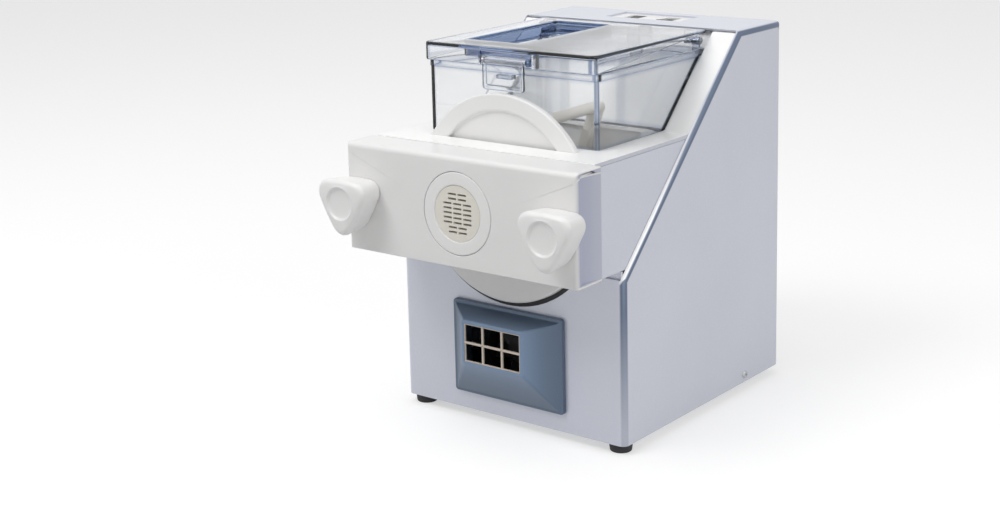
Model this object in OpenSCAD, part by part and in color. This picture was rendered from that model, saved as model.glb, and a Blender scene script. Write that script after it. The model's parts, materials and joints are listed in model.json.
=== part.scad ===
// Countertop electric pasta maker. Millimetres, +Z up.
// Inside the modules Y is counted from the front of the column; centred() moves
// the whole machine so that the middle of its footprint is the origin.

/* [Casing] */
// Width of the casing
case_w = 230; // [215:1:250]
// Depth of the casing from the column front to the rear
case_d = 253; // [245:1:275]
// Height of the casing top above the table
case_top = 324; // [318:1:332]
// Height where the front column ends and the slope begins
lip_z = 147; // [138:1:152]
// Depth of the flat top behind the slope
top_d = 72; // [66:1:80]
// Sheet thickness of the casing
case_wall = 2; // [1.5:0.1:2.5]
// Radius of the casing's outer edges
edge_r = 6; // [4:0.5:8]
// Width of the rim left beside the slope opening
rim_w = 3.7; // [3.2:0.1:5]
// Thickness of the base plate
base_t = 2.5; // [2:0.1:4]
// Height of the feet under the casing
foot_h = 8; // [6:0.5:12]
// Diameter of a foot
foot_d = 20; // [16:0.5:24]
// Distance of the feet from the casing's front and rear, and of the front ones from its sides
foot_inset = 12; // [11:0.5:20]
// Distance of the rear feet from the casing's sides
rear_foot_in = 30; // [11:0.5:50]

/* [Shelf and front cover] */
// Height of the white shelf around the tank
shelf_z = 247; // [245:0.5:249]
// Thickness of the shelf moulding
shelf_t = 3; // [2:0.1:3.5]
// Depth of the pocket behind the tank, square to the slope
pocket_d = 10; // [9:0.5:12]
// Thickness of the cheeks
cheek_t = 2.5; // [2:0.1:3]
// Underside of the box between the cheeks
box_z = 154; // [150:1:158]
// How far the front cover stands out over each side of the casing
cover_over = 2; // [0:0.5:6]
// Height of the front cover
cover_h = 91; // [88:1:93]
// Distance of the cover face in front of the column
cover_reach = 65; // [60:1:75]
// Depth of the cover's side flanges
cover_d = 33; // [28:1:36]
// Wall of the front cover
cover_wall = 3; // [2.5:0.1:3.5]
// Distance of each clamp stud from the cover's side
stud_in = 13.8; // [12:0.1:16]
// Diameter of the clamp studs
stud_d = 8; // [6:0.5:9]
// Length of a clamp knob in front of the cover
knob_h = 27; // [22:0.5:32]
// Reach of a knob's corners from its axis
knob_reach = 27.5; // [24:0.5:29]
// Radius of a knob's corners
knob_corner = 10; // [8:0.5:12]
// Diameter of the round dish in a knob's face
dish_d = 26.6; // [18:0.2:28]

/* [Head and die] */
// Height of the mixing and extruding axis
axis_z = 200; // [198:0.5:202]
// Outer diameter of the raised ring on the head
ring_d = 176; // [170:1:180]
// Width of the raised ring
ring_band = 14; // [9:0.5:18]
// Height of the ring in front of the column
ring_h = 6; // [4:0.5:8]
// Diameter of the die ring's visible face
die_ring_d = 68; // [60:1:72]
// Diameter of the die inside its ring
die_d = 46; // [38:1:50]
// Bore of the extruding barrel
barrel_bore = 54; // [48:1:56]
// Wall of the extruding barrel
barrel_wall = 6; // [4:0.5:7]
// Width of a slot in the die
die_slot_w = 8.5; // [6:0.5:9]
// Height of a slot in the die
slot_h = 1.7; // [1.2:0.1:2.2]

/* [Bowl and tank] */
// Bore of the mixing bowl
bowl_bore = 162; // [154:1:164]
// Wall of the bowl
bowl_wall = 3; // [2:0.1:3.5]
// Depth of the bowl behind the column front
bowl_d = 110; // [104:1:114]
// Outer width of the clear tank
tank_w = 172; // [170:1:174]
// Wall of the tank and lid
tank_wall = 3; // [2.5:0.1:3.5]
// Front wall of the tank behind the column front
tank_y = 9; // [8:0.5:12]
// Height of the tank's rim flange
rim_z = 303; // [300:0.5:304]
// Thickness of the tank's rim flange
rim_t = 5.5; // [4:0.5:6]
// Width of the pour slot in the lid
pour_w = 57; // [45:1:59]
// Right edge of the pour slot
pour_x = -6; // [-10:0.5:-4]
// Width of the lid latch
latch_w = 42; // [34:1:48]
// Thickness of the lid latch
latch_t = 3; // [2.5:0.1:3.5]

/* [Drive] */
// Diameter of the drive shaft
shaft_d = 12; // [10:0.5:14]
// Module of the output gear pair
out_module = 2; // [1.9:0.05:2]
// Teeth of the output gear
out_teeth = 52; // [50:1:52]
// Module of the input gear pair
in_module = 1.5; // [1.4:0.05:1.5]
// Teeth of the intermediate gear
mid_teeth = 48; // [46:1:48]
// Teeth of both pinions
pinion_teeth = 16; // [15:1:17]
// Radius of the large pulley
pulley_r = 42; // [38:1:44]
// Radius of the motor pulley
motor_pulley_r = 12; // [10:0.5:13]
// Height of the motor axis
motor_z = 60; // [57:0.5:61]
// Outer diameter of the motor
motor_d = 76; // [66:1:78]
// Length of the motor's stator body
motor_l = 88; // [78:1:90]
// Diameter of the motor shaft
motor_shaft_d = 8; // [6:0.5:9]
// Diameter of the motor capacitor
cap_d = 34; // [28:1:36]
// Length of the motor capacitor
cap_l = 58; // [50:1:64]
// Distance of the capacitor from the middle of the machine
cap_off = 75; // [74:1:84]

/* [Drying fan and outlet] */
// Width of the outlet hood's base
hood_w = 114; // [104:1:118]
// Gap between the outlet hood and the raised ring over it
hood_gap = 6; // [4:0.5:9]
// Bottom of the outlet hood above the table
hood_z = 24; // [22:1:26]
// Distance of the hood's face in front of the column
hood_reach = 25; // [20:1:30]
// Width of one grille opening
cell_w = 18; // [14:0.5:18.5]
// Height of one grille opening
cell_h = 15.5; // [12:0.5:16]
// Width of the bars between grille openings
bar_w = 2; // [1.5:0.1:2.5]
// Frame size of the drying fan
fan_w = 70; // [60:1:72]
// Depth of the drying fan
fan_d = 20; // [15:1:25]

/* [Controls] */
// Width of the control plate in the top
panel_w = 79; // [72:1:90]
// Depth of the control plate
panel_d = 34; // [32:0.5:36]
// Tilt of a rocker to each side, in degrees
rocker_tilt = 7; // [5:0.5:8]

/* [Fasteners] */
// Diameter of the casing screws
screw_d = 3; // [2.5:0.1:3.4]
// Length of the casing screws
screw_l = 11; // [9:0.5:12]
// Diameter of a screw head
screw_head_d = 7; // [6:0.1:7.4]
// Distance of the rear screws from the middle of the machine
screw_off = 70; // [60:1:80]

/* [Fits] */
// Radial running clearance of shafts, pins and hinges
run = 0.05; // [0.03:0.01:0.08]
// Clearance between seated pieces
seat = 0.3; // [0.2:0.05:0.3]

/* [Hidden] */
$fn = 64;

// ---- places that several pieces share ----
reach = cover_reach + knob_h;
mid_y = (case_d - reach) / 2;
slope_run = case_d - top_d;
slope_a = atan2(case_top - lip_z, slope_run);
side_in = case_w / 2 - case_wall;
open_x = case_w / 2 - rim_w;
base_z = foot_h + base_t;
cheek_x = open_x - seat;
cover_w = case_w + 2 * cover_over;
cover_y = -cover_reach;
cover_z = shelf_z - cover_h - 0.5;
cover_back = cover_y + cover_d;
cheek_top = shelf_z - shelf_t - seat;
arm_x = cheek_x - cheek_t - seat;
arm_t = 2.8;
nut_h = 5;
arm_low = axis_z - 15;
arm_high = axis_z + 15;
stud_x = cover_w / 2 - stud_in;
stud_seat = cover_back - 12;
nut_back = stud_seat + arm_t + seat + nut_h;
bowl_r = bowl_bore / 2;
bowl_out = bowl_r + bowl_wall;
flange_r = bowl_out + 4;
seal_t = 3.4;
hole_r = flange_r + seal_t + 2 * seat;
ring_r = ring_d / 2;
ring_gap = 1.54;
box_in = sqrt(pow(ring_r, 2) - pow(axis_z - box_z, 2)) + ring_gap;
barrel_out = barrel_bore / 2 + barrel_wall;
die_back = cover_y + 12;
die_flange_r = die_ring_d / 2 + 3;
bulk_gap = 22;
bulk_y = bowl_d + bulk_gap;
bulk_t = 3;
box_y = bulk_y + bulk_t;
cap_gap = 20;
wall_g = 4;
plane_out = box_y + wall_g + 2;
out_w = 14;
plane_mid = plane_out + out_w + 3;
mid_w = 10;
cover_g_y = plane_mid + mid_w + 3;
pulley_y = cover_g_y + wall_g + 6;
pulley_w = 14;
out_gap = out_module * (out_teeth + pinion_teeth) / 2;
mid_gap = in_module * (mid_teeth + pinion_teeth) / 2;
mid_x = -42;
mid_z = axis_z - sqrt(out_gap * out_gap - mid_x * mid_x);
in_z = mid_z - sqrt(mid_gap * mid_gap - mid_x * mid_x);
out_tip = out_module * (out_teeth / 2 + 0.95);
mid_tip = in_module * (mid_teeth / 2 + 0.95);
motor_r = motor_d / 2;
motor_y1 = cover_g_y - 12;
motor_y0 = motor_y1 - motor_l;
hood_h = axis_z - ring_r - hood_gap - hood_z;
hood_mid = hood_z + hood_h / 2;
grille_z = hood_mid + 12;
panel_y = case_d - 12 - panel_d;
panel_x = -1.5;
panel_z = case_top - 1.5;
rocker_x = 18;
rocker_z = panel_z - 4.8;
hinge_y = slope_y(rim_z + rim_t, 0) + 2.3;
hinge_z = rim_z + rim_t + 6.5;
latch_y = tank_y - 5;
latch_z = case_top - 10.5;
latch_low = axis_z + ring_r + 1.5;
lid_z = rim_z + rim_t + seat;
tank_low = shelf_z + seat;
side_screw_y = 191;
side_screw_z = foot_h + 7;
rear_y = case_d - 4;
rear_in = 1.5;
rear_face = case_d - rear_in;
strap_z = axis_z + 28;
screw_bore = screw_d / 2 + 0.2;

// ---- slope of the front, i millimetres under its plane ----
function slope_z(y, i) = lip_z + (sin(slope_a) * y - i) / cos(slope_a);
function slope_y(z, i) = (cos(slope_a) * (z - lip_z) + i) / sin(slope_a);

// ---- helpers ----
module centred() translate([0, -mid_y, 0]) children();

// A block from its ranges in X, Y and Z
module block(x, y, z)
    translate([x[0], y[0], z[0]]) cube([x[1] - x[0], y[1] - y[0], z[1] - z[0]]);

// The same block on the left and on the right
module pair_block(x, y, z) {
    block(x, y, z);
    block([-x[1], -x[0]], y, z);
}

// A round bar along Y
module rod(r, y, x = 0, z = axis_z)
    translate([x, y[1], z]) rotate([90, 0, 0]) cylinder(r = r, h = y[1] - y[0]);

// A round tube along Y
module tube(r_in, r_out, y, x = 0, z = axis_z)
    difference() {
        rod(r_out, y, x, z);
        rod(r_in, [y[0] - 1, y[1] + 1], x, z);
    }

// A round bar along X
module rod_x(r, x, y, z)
    translate([x[0], y, z]) rotate([0, 90, 0]) cylinder(r = r, h = x[1] - x[0]);

// A side outline in Y and Z carried along X
module side_plate(x)
    translate([x[0], 0, 0]) rotate([90, 0, 90]) linear_extrude(x[1] - x[0]) children();

// A front outline in X and Z carried along Y
module front_plate(y)
    translate([0, y[1], 0]) rotate([90, 0, 0]) linear_extrude(y[1] - y[0]) children();

module round_rect(w, h, r) {
    square([w - 2 * r, h], center = true);
    square([w, h - 2 * r], center = true);
    for (sx = [-1, 1], sy = [-1, 1])
        translate([sx * (w / 2 - r), sy * (h / 2 - r)]) circle(r);
}

// A pan-head screw with a cross recess; its head points along -Z of the frame
module screw(d, l, head_d, head_h)
    difference() {
        union() {
            cylinder(d = d, h = l);
            translate([0, 0, -head_h]) cylinder(d1 = head_d * 0.8, d2 = head_d, h = head_h);
        }
        for (a = [0, 90])
            rotate(a) translate([0, 0, -head_h]) cube([head_d * 0.5, d * 0.2, head_h], center = true);
    }

// ---- casing ----
// Solid form of the casing, i millimetres inside its faces
module casing_form(i, r) {
    w = case_w - 2 * i;
    low = i > 0 ? -1 : foot_h;
    back = i > 0 ? case_d + 10 : case_d;
    top = case_top - i;
    intersection() {
        side_plate([-w / 2, w / 2])
            polygon([
                [i, low], [i, slope_z(i, i)], [slope_y(top, i), top],
                [back, top], [back, low]
            ]);
        translate([0, (back + i) / 2, 0]) linear_extrude(case_top + 1)
            round_rect(w, back - i, r);
        translate([0, 0, lip_z]) rotate([slope_a, 0, 0])
            front_plate([-2 * case_d, 2 * case_d])
                translate([0, -i - case_top]) round_rect(w, 2 * case_top, r);
        front_plate([-1, case_d + 11]) round_rect(w, 2 * top, r);
    }
}

module outer_casing() color("#c3c5d2") centred() difference() {
    casing_form(0, edge_r);
    casing_form(case_wall, edge_r - case_wall);
    // slope opening, and the cut for the head in the column
    translate([0, 0, lip_z]) rotate([slope_a, 0, 0])
        block([-open_x, open_x], [0, slope_run / cos(slope_a)], [-3 * case_wall, 1]);
    rod(hole_r, [-1, case_wall + 1]);
    // outlet hood, control plate and side screws
    block([-hood_w / 2 + 6, hood_w / 2 - 6], [-1, case_wall + 1], [hood_z + 6, hood_z + hood_h - 6]);
    block([panel_x - panel_w / 2, panel_x + panel_w / 2], [panel_y, panel_y + panel_d], [case_top - 9, case_top + 1]);
    rod_x(2.2, [-case_w, case_w], side_screw_y, side_screw_z);
}

// ---- base and rear ----
base_x = side_in - seat;
flange_h = 14;

module foot_places() for (sx = [-1, 1]) {
    translate([sx * (case_w / 2 - foot_inset), foot_inset, 0]) children();
    translate([sx * (case_w / 2 - rear_foot_in), case_d - foot_inset, 0]) children();
}

module base_plate() color("#5d626b") centred() difference() {
    union() {
        intersection() {
            block([-base_x, base_x], [case_wall + seat, rear_y - seat], [foot_h, base_z]);
            translate([0, case_d / 2, 0]) linear_extrude(base_z)
                round_rect(2 * base_x, case_d - 2 * case_wall - 2 * seat, edge_r - case_wall);
        }
        pair_block([base_x - 2, base_x], [30, rear_y - 20], [base_z - 1, foot_h + flange_h]);
        pair_block([base_x - 8, base_x - 1], [side_screw_y - 6, side_screw_y + 6], [base_z - 1, foot_h + flange_h]);
        block([-80, 80], [rear_y - 2.3, rear_y - seat], [base_z - 1, foot_h + flange_h]);
    }
    foot_places() cylinder(d = 5, h = 2 * base_z);
    rod_x(screw_bore, [-case_w, case_w], side_screw_y, side_screw_z);
    for (x = [-1, 1]) rod(screw_bore, [rear_y - 6, rear_y + 1], x * screw_off, side_screw_z);
    // air slots under the motor
    for (k = [-5:5]) block([k * 9 - 2, k * 9 + 2], [motor_y0 + 20, motor_y1 - 10], [foot_h - 1, base_z + 1]);
}

module rear_panel() color("#b9bbc6") centred() difference() {
    intersection() {
        block([-base_x, base_x], [rear_y, rear_face], [foot_h + seat, case_top - case_wall - seat]);
        front_plate([rear_y - 1, case_d]) translate([0, case_top / 2])
            round_rect(2 * base_x, case_top - 2 * case_wall - 2 * seat, edge_r - case_wall);
    }
    // vent slots
    for (row = [0, 1], k = [-7:7])
        block([k * 9 - 2, k * 9 + 2], [rear_y - 1, case_d], [112 + row * 70, 160 + row * 70]);
    rear_screw_places() cylinder(d = screw_d + 1.4, h = 8 * rear_in, center = true);
    block([inlet_x - 13.8, inlet_x + 13.8], [rear_y - 1, case_d], [inlet_z - 10.3, inlet_z + 10.3]);
}

module rear_screw_places() for (x = [-1, 1]) {
    translate([x * screw_off, rear_face, side_screw_z]) rotate([90, 0, 0]) children();
    translate([x * strap_x, rear_face, strap_z + 4]) rotate([90, 0, 0]) children();
}

module casing_screws() color("#8b8e94") centred() {
    rear_screw_places() screw(screw_d, screw_l, screw_head_d, rear_in - 0.1);
    for (sx = [-1, 1])
        translate([sx * (case_w / 2 + 0.05), side_screw_y, side_screw_z])
            rotate([0, -sx * 90, 0]) screw(screw_d, screw_l - case_wall, screw_head_d, case_wall - 0.4);
}

module feet() color("#17181a") centred() foot_places() difference() {
    cylinder(d1 = foot_d - 2, d2 = foot_d, h = foot_h);
    translate([0, 0, -1]) cylinder(d = 5, h = foot_h + 2);
    translate([0, 0, -1]) cylinder(d = 9, h = foot_h - 2);
}

module foot_screws() color("#9a9ca1") centred() foot_places()
    translate([0, 0, foot_h - 3]) screw(4, 10, 8, 2.4);

// ---- cheeks and shelf ----
cheek_deep = 12;

module cheek() {
    front = cover_back + seat;
    // side plate with a tongue inside the cover
    difference() {
        side_plate([cheek_x - cheek_t, cheek_x])
            polygon([
                [front, box_z], [front, box_z + 8], [front - 8, box_z + 8],
                [front - 8, cheek_top - 8], [front, cheek_top - 8], [front, cheek_top],
                [slope_y(cheek_top, 0) + cheek_deep, cheek_top],
                [slope_y(box_z, 0) + cheek_deep, box_z]
            ]);
        rod(boss_r + seat, [front - 9, nut_back + seat], stud_x);
    }
    block([box_in, cheek_x - 1], [front, -0.5], [box_z, box_z + cheek_t]);
    // return that closes the gap behind the top of the column
    lip_back = case_wall + seat + cheek_t;
    block([hole_r + 1, cheek_x - 1], [-1, lip_back], [box_z, box_z + cheek_t]);
    block([hole_r + 1, cheek_x - 1], [case_wall + seat, lip_back], [lip_z - 8, box_z + 1]);
}

module cheek_right() color("#bcbecb") centred() cheek();
module cheek_left() color("#bcbecb") centred() mirror([1, 0, 0]) cheek();

pocket_x = tank_w / 2 + 2.3;
band_top = case_top - case_wall - 0.5;

module shelf_moulding() color("#f3f2ef") centred() difference() {
    y_band = slope_y(shelf_z, 1);
    y_band2 = slope_y(shelf_z - shelf_t, 1 + shelf_t);
    y_pock = slope_y(shelf_z, pocket_d);
    y_pock2 = slope_y(shelf_z - shelf_t, pocket_d + shelf_t);
    pock_top = case_top - case_wall - 2;
    union() {
        // bands beside the tank, up the slope
        for (x = [[-cheek_x, -pocket_x], [pocket_x, cheek_x]])
            side_plate(x) polygon([
                [cover_back + seat, shelf_z], [y_band, shelf_z], [slope_y(band_top, 1), band_top],
                [slope_y(band_top, 1 + shelf_t), band_top], [y_band2, shelf_z - shelf_t],
                [cover_back + seat, shelf_z - shelf_t]
            ]);
        // shelf and the pocket behind the tank
        side_plate([-pocket_x - shelf_t, pocket_x + shelf_t]) polygon([
            [cover_back + seat, shelf_z], [y_pock, shelf_z], [slope_y(pock_top, pocket_d), pock_top],
            [slope_y(pock_top, pocket_d + shelf_t), pock_top], [y_pock2, shelf_z - shelf_t],
            [cover_back + seat, shelf_z - shelf_t]
        ]);
        // pocket side walls
        for (x = [[-pocket_x - shelf_t, -pocket_x], [pocket_x, pocket_x + shelf_t]])
            side_plate(x) polygon([
                [y_band, shelf_z], [slope_y(band_top, 1), band_top],
                [slope_y(pock_top, pocket_d + shelf_t), pock_top], [y_pock2, shelf_z - shelf_t], [y_band, shelf_z - shelf_t]
            ]);
    }
    block([-bowl_r, bowl_r], [tank_y + tank_wall, slope_y(shelf_z, 1)], [shelf_z - 9, shelf_z + 1]);
    rod(ring_r + seat, [-ring_h - seat, seat]);
}

// ---- bowl, seal and head ----
bowl_top = shelf_z - shelf_t - seat;

module trough(r, y, top) {
    rod(r, y);
    block([-r, r], y, [axis_z, top]);
}

module bowl() color("#eceae5") centred() difference() {
    union() {
        intersection() {
            union() {
                trough(bowl_out, [seat, bowl_d], bowl_top);
                rod(flange_r, [seat, 4]);
            }
            block([-flange_r, flange_r], [0, bowl_d], [0, bowl_top]);
        }
        rod(22, [bowl_d - 1, bulk_y - seat]);
    }
    trough(bowl_r, [-1, bowl_d - bowl_wall], shelf_z + 1);
    rod(bush_r + run, [0, bulk_y + 1]);
    rod(seal_r + run, [0, bowl_d + 6]);
}

bush_r = shaft_d / 2 + 3.5;
seal_r = shaft_d / 2 + 6;

module bowl_seal() color("#141517") centred() intersection() {
    tube(flange_r + seat, flange_r + seat + seal_t, [seat, 3.8]);
    block([-case_w, case_w], [0, 9], [0, axis_z + 20]);
}

disc_t = 3;

module head_disc() color("#f4f3f0") centred() difference() {
    union() {
        rod(ring_r - 1, [-disc_t, 0]);
        tube(ring_r - ring_band, ring_r, [-ring_h, 0]);
    }
    rod(barrel_out + run, [-ring_h, 1]);
}

// The extruding barrel, with the flange that seats it on the head disc
module barrel() color("#f0eee9") centred() difference() {
    union() {
        rod(barrel_out, [die_back + seat, 0]);
        rod(barrel_out + 8, [-disc_t - run - 4, -disc_t - run]);
    }
    rod(barrel_bore / 2, [die_back - 1, 1]);
}

// ---- tank and lid ----
tank_x = tank_w / 2;
knuckle_r = 3.5;
knuckle_x = [[-tank_x + 2, -tank_x + 9], [10, 22], [tank_x - 9, tank_x - 2]];
lid_knuckle_x = [[-tank_x + 9 + seat, -tank_x + 17], [22 + seat, 34], [tank_x - 17, tank_x - 9 - seat]];

// Side outline of the tank's outside or inside
function tank_outline(front, under, low, high) =
    [[front, low], [front, high], [slope_y(high, under), high], [slope_y(low, under), low]];

module tank() color("#c9d3e6", 0.45) centred() difference() {
    union() {
        side_plate([-tank_x, tank_x])
            polygon(tank_outline(tank_y, 4, tank_low, rim_z + rim_t));
        side_plate([-tank_x - 1.5, tank_x + 1.5])
            polygon(tank_outline(tank_y - 1.5, 4.5, rim_z, rim_z + rim_t));
        for (x = knuckle_x) {
            rod_x(knuckle_r, x, hinge_y, hinge_z);
            block(x, [hinge_y - knuckle_r, hinge_y + 1], [rim_z + 1, hinge_z]);
        }
    }
    side_plate([-tank_x + tank_wall, tank_x - tank_wall])
        polygon(tank_outline(tank_y + tank_wall, 4 - tank_wall, tank_low - 1, rim_z + rim_t + 0.01));
    rod_x(pin_r + run, [-tank_x, tank_x], hinge_y, hinge_z);
}

pin_r = 2;
lid_x = tank_x + 1.5;
pour = [pour_x - pour_w, pour_x];
pour_ys = [32, hinge_y - knuckle_r - 3];

module lid() color("#c9d3e6", 0.45) centred() difference() {
    union() {
        difference() {
            side_plate([-lid_x, lid_x]) polygon([
                [tank_y - 1.5, lid_z], [tank_y - 1.5, case_top - 2], [tank_y + 0.5, case_top],
                [hinge_y + 7, case_top], [hinge_y + 7, case_top - tank_wall],
                [hinge_y + 3.5, case_top - tank_wall], [hinge_y + 3.5, lid_z + 1.2], [hinge_y, lid_z]
            ]);
            block([-lid_x + tank_wall, lid_x - tank_wall], [tank_y + 1.5, hinge_y + 9], [lid_z - 1, case_top - tank_wall]);
        }
        // chute under the pour slot
        block([pour[0] - 2, pour[1] + 2], [pour_ys[0] - 2, pour_ys[1] + 2], [lid_z + 2, case_top - 1]);
        for (x = lid_knuckle_x) {
            rod_x(knuckle_r, x, hinge_y, hinge_z);
            block(x, [hinge_y - knuckle_r, hinge_y + 2], [hinge_z, case_top - 1]);
        }
        // lugs for the latch
        for (sx = [-1, 1])
            block(sx > 0 ? [latch_w / 2 + seat, latch_w / 2 + 4] : [-latch_w / 2 - 4, -latch_w / 2 - seat],
                [latch_y - 3, tank_y], [latch_z - 3, latch_z + 3]);
    }
    block(pour, pour_ys, [lid_z, case_top + 1]);
    rod_x(pin_r + run, [-tank_x, tank_x], hinge_y, hinge_z);
    rod_x(1.5 + run, [-tank_x, tank_x], latch_y, latch_z);
}

module lid_pin() color("#b8babf") centred()
    rod_x(pin_r, [-tank_x + 2.3, tank_x - 2.3], hinge_y, hinge_z);

module lid_latch() color("#cfd9ea", 0.5) centred() difference() {
    x = [-latch_w / 2, latch_w / 2];
    union() {
        rod_x(3, x, latch_y, latch_z);
        block(x, [latch_y - 3 - latch_t, latch_y - 3], [latch_low, latch_z + 1]);
        block(x, [latch_y - 3.5, latch_y], [latch_z - 2, latch_z + 2]);
        // bead that clips over the tank's rim
        block([-8, 8], [latch_y - 4, tank_y - 1.5 - seat], [rim_z - 4, rim_z - 0.6]);
    }
    rod_x(1.5 + run, [-tank_x, tank_x], latch_y, latch_z);
}

module latch_pin() color("#b8babf") centred()
    rod_x(1.5, [-latch_w / 2 - 3.7, latch_w / 2 + 3.7], latch_y, latch_z);

// ---- front cover, die and knobs ----
boss_r = stud_d / 2 + 4.5;
sensor_x = 86;
sensor_z = 226;

module front_cover() color("#f4f3ef") centred() difference() {
    r = 4;
    top = cover_z + cover_h;
    notch = 2.6;
    union() {
        difference() {
            intersection() {
                block([-cover_w / 2, cover_w / 2], [cover_y, cover_back], [cover_z, top]);
                translate([0, cover_y + cover_d, 0]) linear_extrude(case_top)
                    round_rect(cover_w, 2 * cover_d, r);
                side_plate([-cover_w / 2, cover_w / 2]) translate([cover_y + cover_d, cover_z + cover_h / 2])
                    round_rect(2 * cover_d, cover_h, r);
            }
            block([-cover_w / 2 + cover_wall, cover_w / 2 - cover_wall], [cover_y + cover_wall, cover_back + 1],
                [cover_z + cover_wall, top - cover_wall]);
        }
        for (sx = [-1, 1])
            rod(boss_r, [cover_y + 1, stud_seat - seat], sx * stud_x);
        rod(4, [cover_y + 1, stud_seat - 3.5], sensor_x, sensor_z);
        // rim that holds the die ring
        tube(die_flange_r + seat, die_flange_r + 4, [cover_y + 1, cover_y + 9]);
    }
    rod(die_ring_d / 2 + seat, [cover_y - 1, cover_y + cover_wall + 1]);
    rod(die_flange_r + seat, [cover_y + cover_wall, die_back + 8]);
    for (sx = [-1, 1])
        rod(stud_d / 2 + seat, [cover_y - 1, cover_back + 1], sx * stud_x);
    // dark gap over each side flange
    pair_block([cover_w / 2 - cover_wall - 1.5, cover_w / 2 + 1], [cover_y + 5, cover_back + 1],
        [top - cover_wall - notch, top - cover_wall]);
}

module die_ring() color("#f6f5f2") centred() difference() {
    union() {
        rod(die_ring_d / 2, [cover_y, die_back]);
        rod(die_flange_r, [cover_y + cover_wall + seat, die_back]);
    }
    rod(die_d / 2 + run, [cover_y - 1, cover_y + 6]);
    rod(die_d / 2 - 2, [cover_y, die_back + 1]);
}

module die() color("#efe9dc") centred() difference() {
    pitch = die_slot_w + 1.5;
    rod(die_d / 2, [cover_y + 0.6, cover_y + 6 - run]);
    for (row = [-4:4]) {
        z = row * (slot_h + 2.2);
        half = sqrt(pow(die_d / 2 - 4, 2) - z * z);
        count = floor(2 * half / pitch);
        for (k = [0:count - 1])
            block([(k - count / 2) * pitch + 0.75, (k - count / 2 + 1) * pitch - 0.75],
                [cover_y, cover_y + 7], [axis_z + z - slot_h / 2, axis_z + z + slot_h / 2]);
    }
}

// Rounded triangle with slightly bulging sides, pointing down
module knob_outline() hull() for (a = [-90, 30, 150]) {
    away = knob_reach - knob_corner;
    rotate(a) translate([away, 0]) circle(knob_corner, $fn = 32);
    rotate(a + 60) translate([away / 2, 0]) circle(knob_corner + 1, $fn = 32);
}

module knob(x) difference() {
    union() {
        translate([0, cover_y - seat, 0]) front_plate([-knob_h + seat + 5, 0])
            translate([x, axis_z]) knob_outline();
        translate([x, cover_y - knob_h + 5.01, axis_z]) rotate([90, 0, 0])
            linear_extrude(5.01, scale = 0.9) knob_outline();
    }
    rod(stud_d / 2 + run, [cover_y - knob_h + 7, cover_y + 1], x);
    rod(dish_d / 2, [cover_y - knob_h - 1, cover_y - knob_h + 2], x);
}

module knob_left() color("#f5f4f1") centred() knob(-stud_x);
module knob_right() color("#f5f4f1") centred() knob(stud_x);

// ---- studs and arms ----
module studs() color("#a9abb0") centred() for (sx = [-1, 1]) {
    rod(stud_d / 2, [cover_y - knob_h + 8, stud_seat + 12], sx * stud_x);
    difference() {
        translate([sx * stud_x, nut_back, axis_z]) rotate([90, 0, 0])
            cylinder(r = stud_d * 0.92, h = nut_h, $fn = 6);
        rod(stud_d / 2 - 0.2, [stud_seat, stud_seat + 20], sx * stud_x);
    }
}

module stud_arm() difference() {
    union() {
        block([arm_x - arm_t, arm_x], [stud_seat, bulk_y - seat], [arm_low, arm_high]);
        block([stud_x - 9, arm_x], [stud_seat, stud_seat + arm_t], [arm_low, arm_high]);
        block([arm_x - 14, arm_x], [bulk_y - seat - arm_t, bulk_y - seat], [arm_low, arm_high]);
    }
    rod(stud_d / 2 + run, [stud_seat - 1, stud_seat + 9], stud_x);
    rod(boss_r + 1, [stud_seat + arm_t, nut_back + 8], stud_x);
    for (y = [10:28:100]) rod_x(7, [0, case_w], y, axis_z);
}

// Both arms; the right one also carries the cover switch
module stud_arms() color("#8d9096") centred() {
    mirror([1, 0, 0]) stud_arm();
    stud_arm();
    difference() {
        block([sensor_x - 8, arm_x], [stud_seat, stud_seat + arm_t], [arm_high - 1, sensor_z + 9]);
        rod(2 + run, [stud_seat - 1, stud_seat + 9], sensor_x, sensor_z);
    }
}

module cover_switch() color("#3a3d42") centred() difference() {
    block([sensor_x - 7, sensor_x + 7], [stud_seat + arm_t + seat, stud_seat + arm_t + 20], [sensor_z - 8, sensor_z + 8]);
    rod(2 + run, [stud_seat, stud_seat + arm_t + 16], sensor_x, sensor_z);
}

module switch_plunger() color("#c8452f") centred()
    rod(2, [stud_seat - 3.2, stud_seat + arm_t + 10], sensor_x, sensor_z);

// ---- bulkhead and gearbox ----
bulk_x = side_in - 8;
strap_x = bulk_x - 14;

module bulkhead() color("#7e8288") centred() difference() {
    union() {
        block([-bulk_x, bulk_x], [bulk_y, box_y], [base_z + seat, axis_z + 48]);
        pair_block([motor_r + 12, bulk_x], [bulk_y - 14, box_y], [base_z + seat, base_z + 3]);
        // straps to the rear panel
        pair_block([strap_x - 6, strap_x + 6], [bulk_y, rear_y - seat], [strap_z, strap_z + 2.5]);
        pair_block([strap_x - 6, strap_x + 6], [rear_y - seat - bulk_t, rear_y - seat], [strap_z - 6, strap_z + 12]);
    }
    rod(seal_r + 1, [bulk_y - 1, box_y + 1]);
    block([-motor_r - 10, motor_r + 10], [bulk_y - 1, box_y + 1], [0, motor_z + motor_r + 10]);
    for (x = [-1, 1]) rod(screw_bore, [rear_y - 9, rear_y + 1], x * strap_x, strap_z + 4);
    for (x = [-1, 1]) block([x * 78 - 12, x * 78 + 12], [bulk_y - 1, box_y + 1], [70, 150]);
}

module gearbox_outline(grow) hull() {
    translate([0, axis_z]) circle(out_tip + 1 + grow, $fn = 64);
    translate([mid_x, mid_z]) circle(mid_tip + 1 + grow, $fn = 48);
    translate([0, in_z]) circle(14 + grow, $fn = 32);
}

bolt_r = out_tip + 8;

module bolt_places() for (a = [-32, 28, 152, 184])
    translate([bolt_r * cos(a), axis_z + bolt_r * sin(a)]) children();

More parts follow.
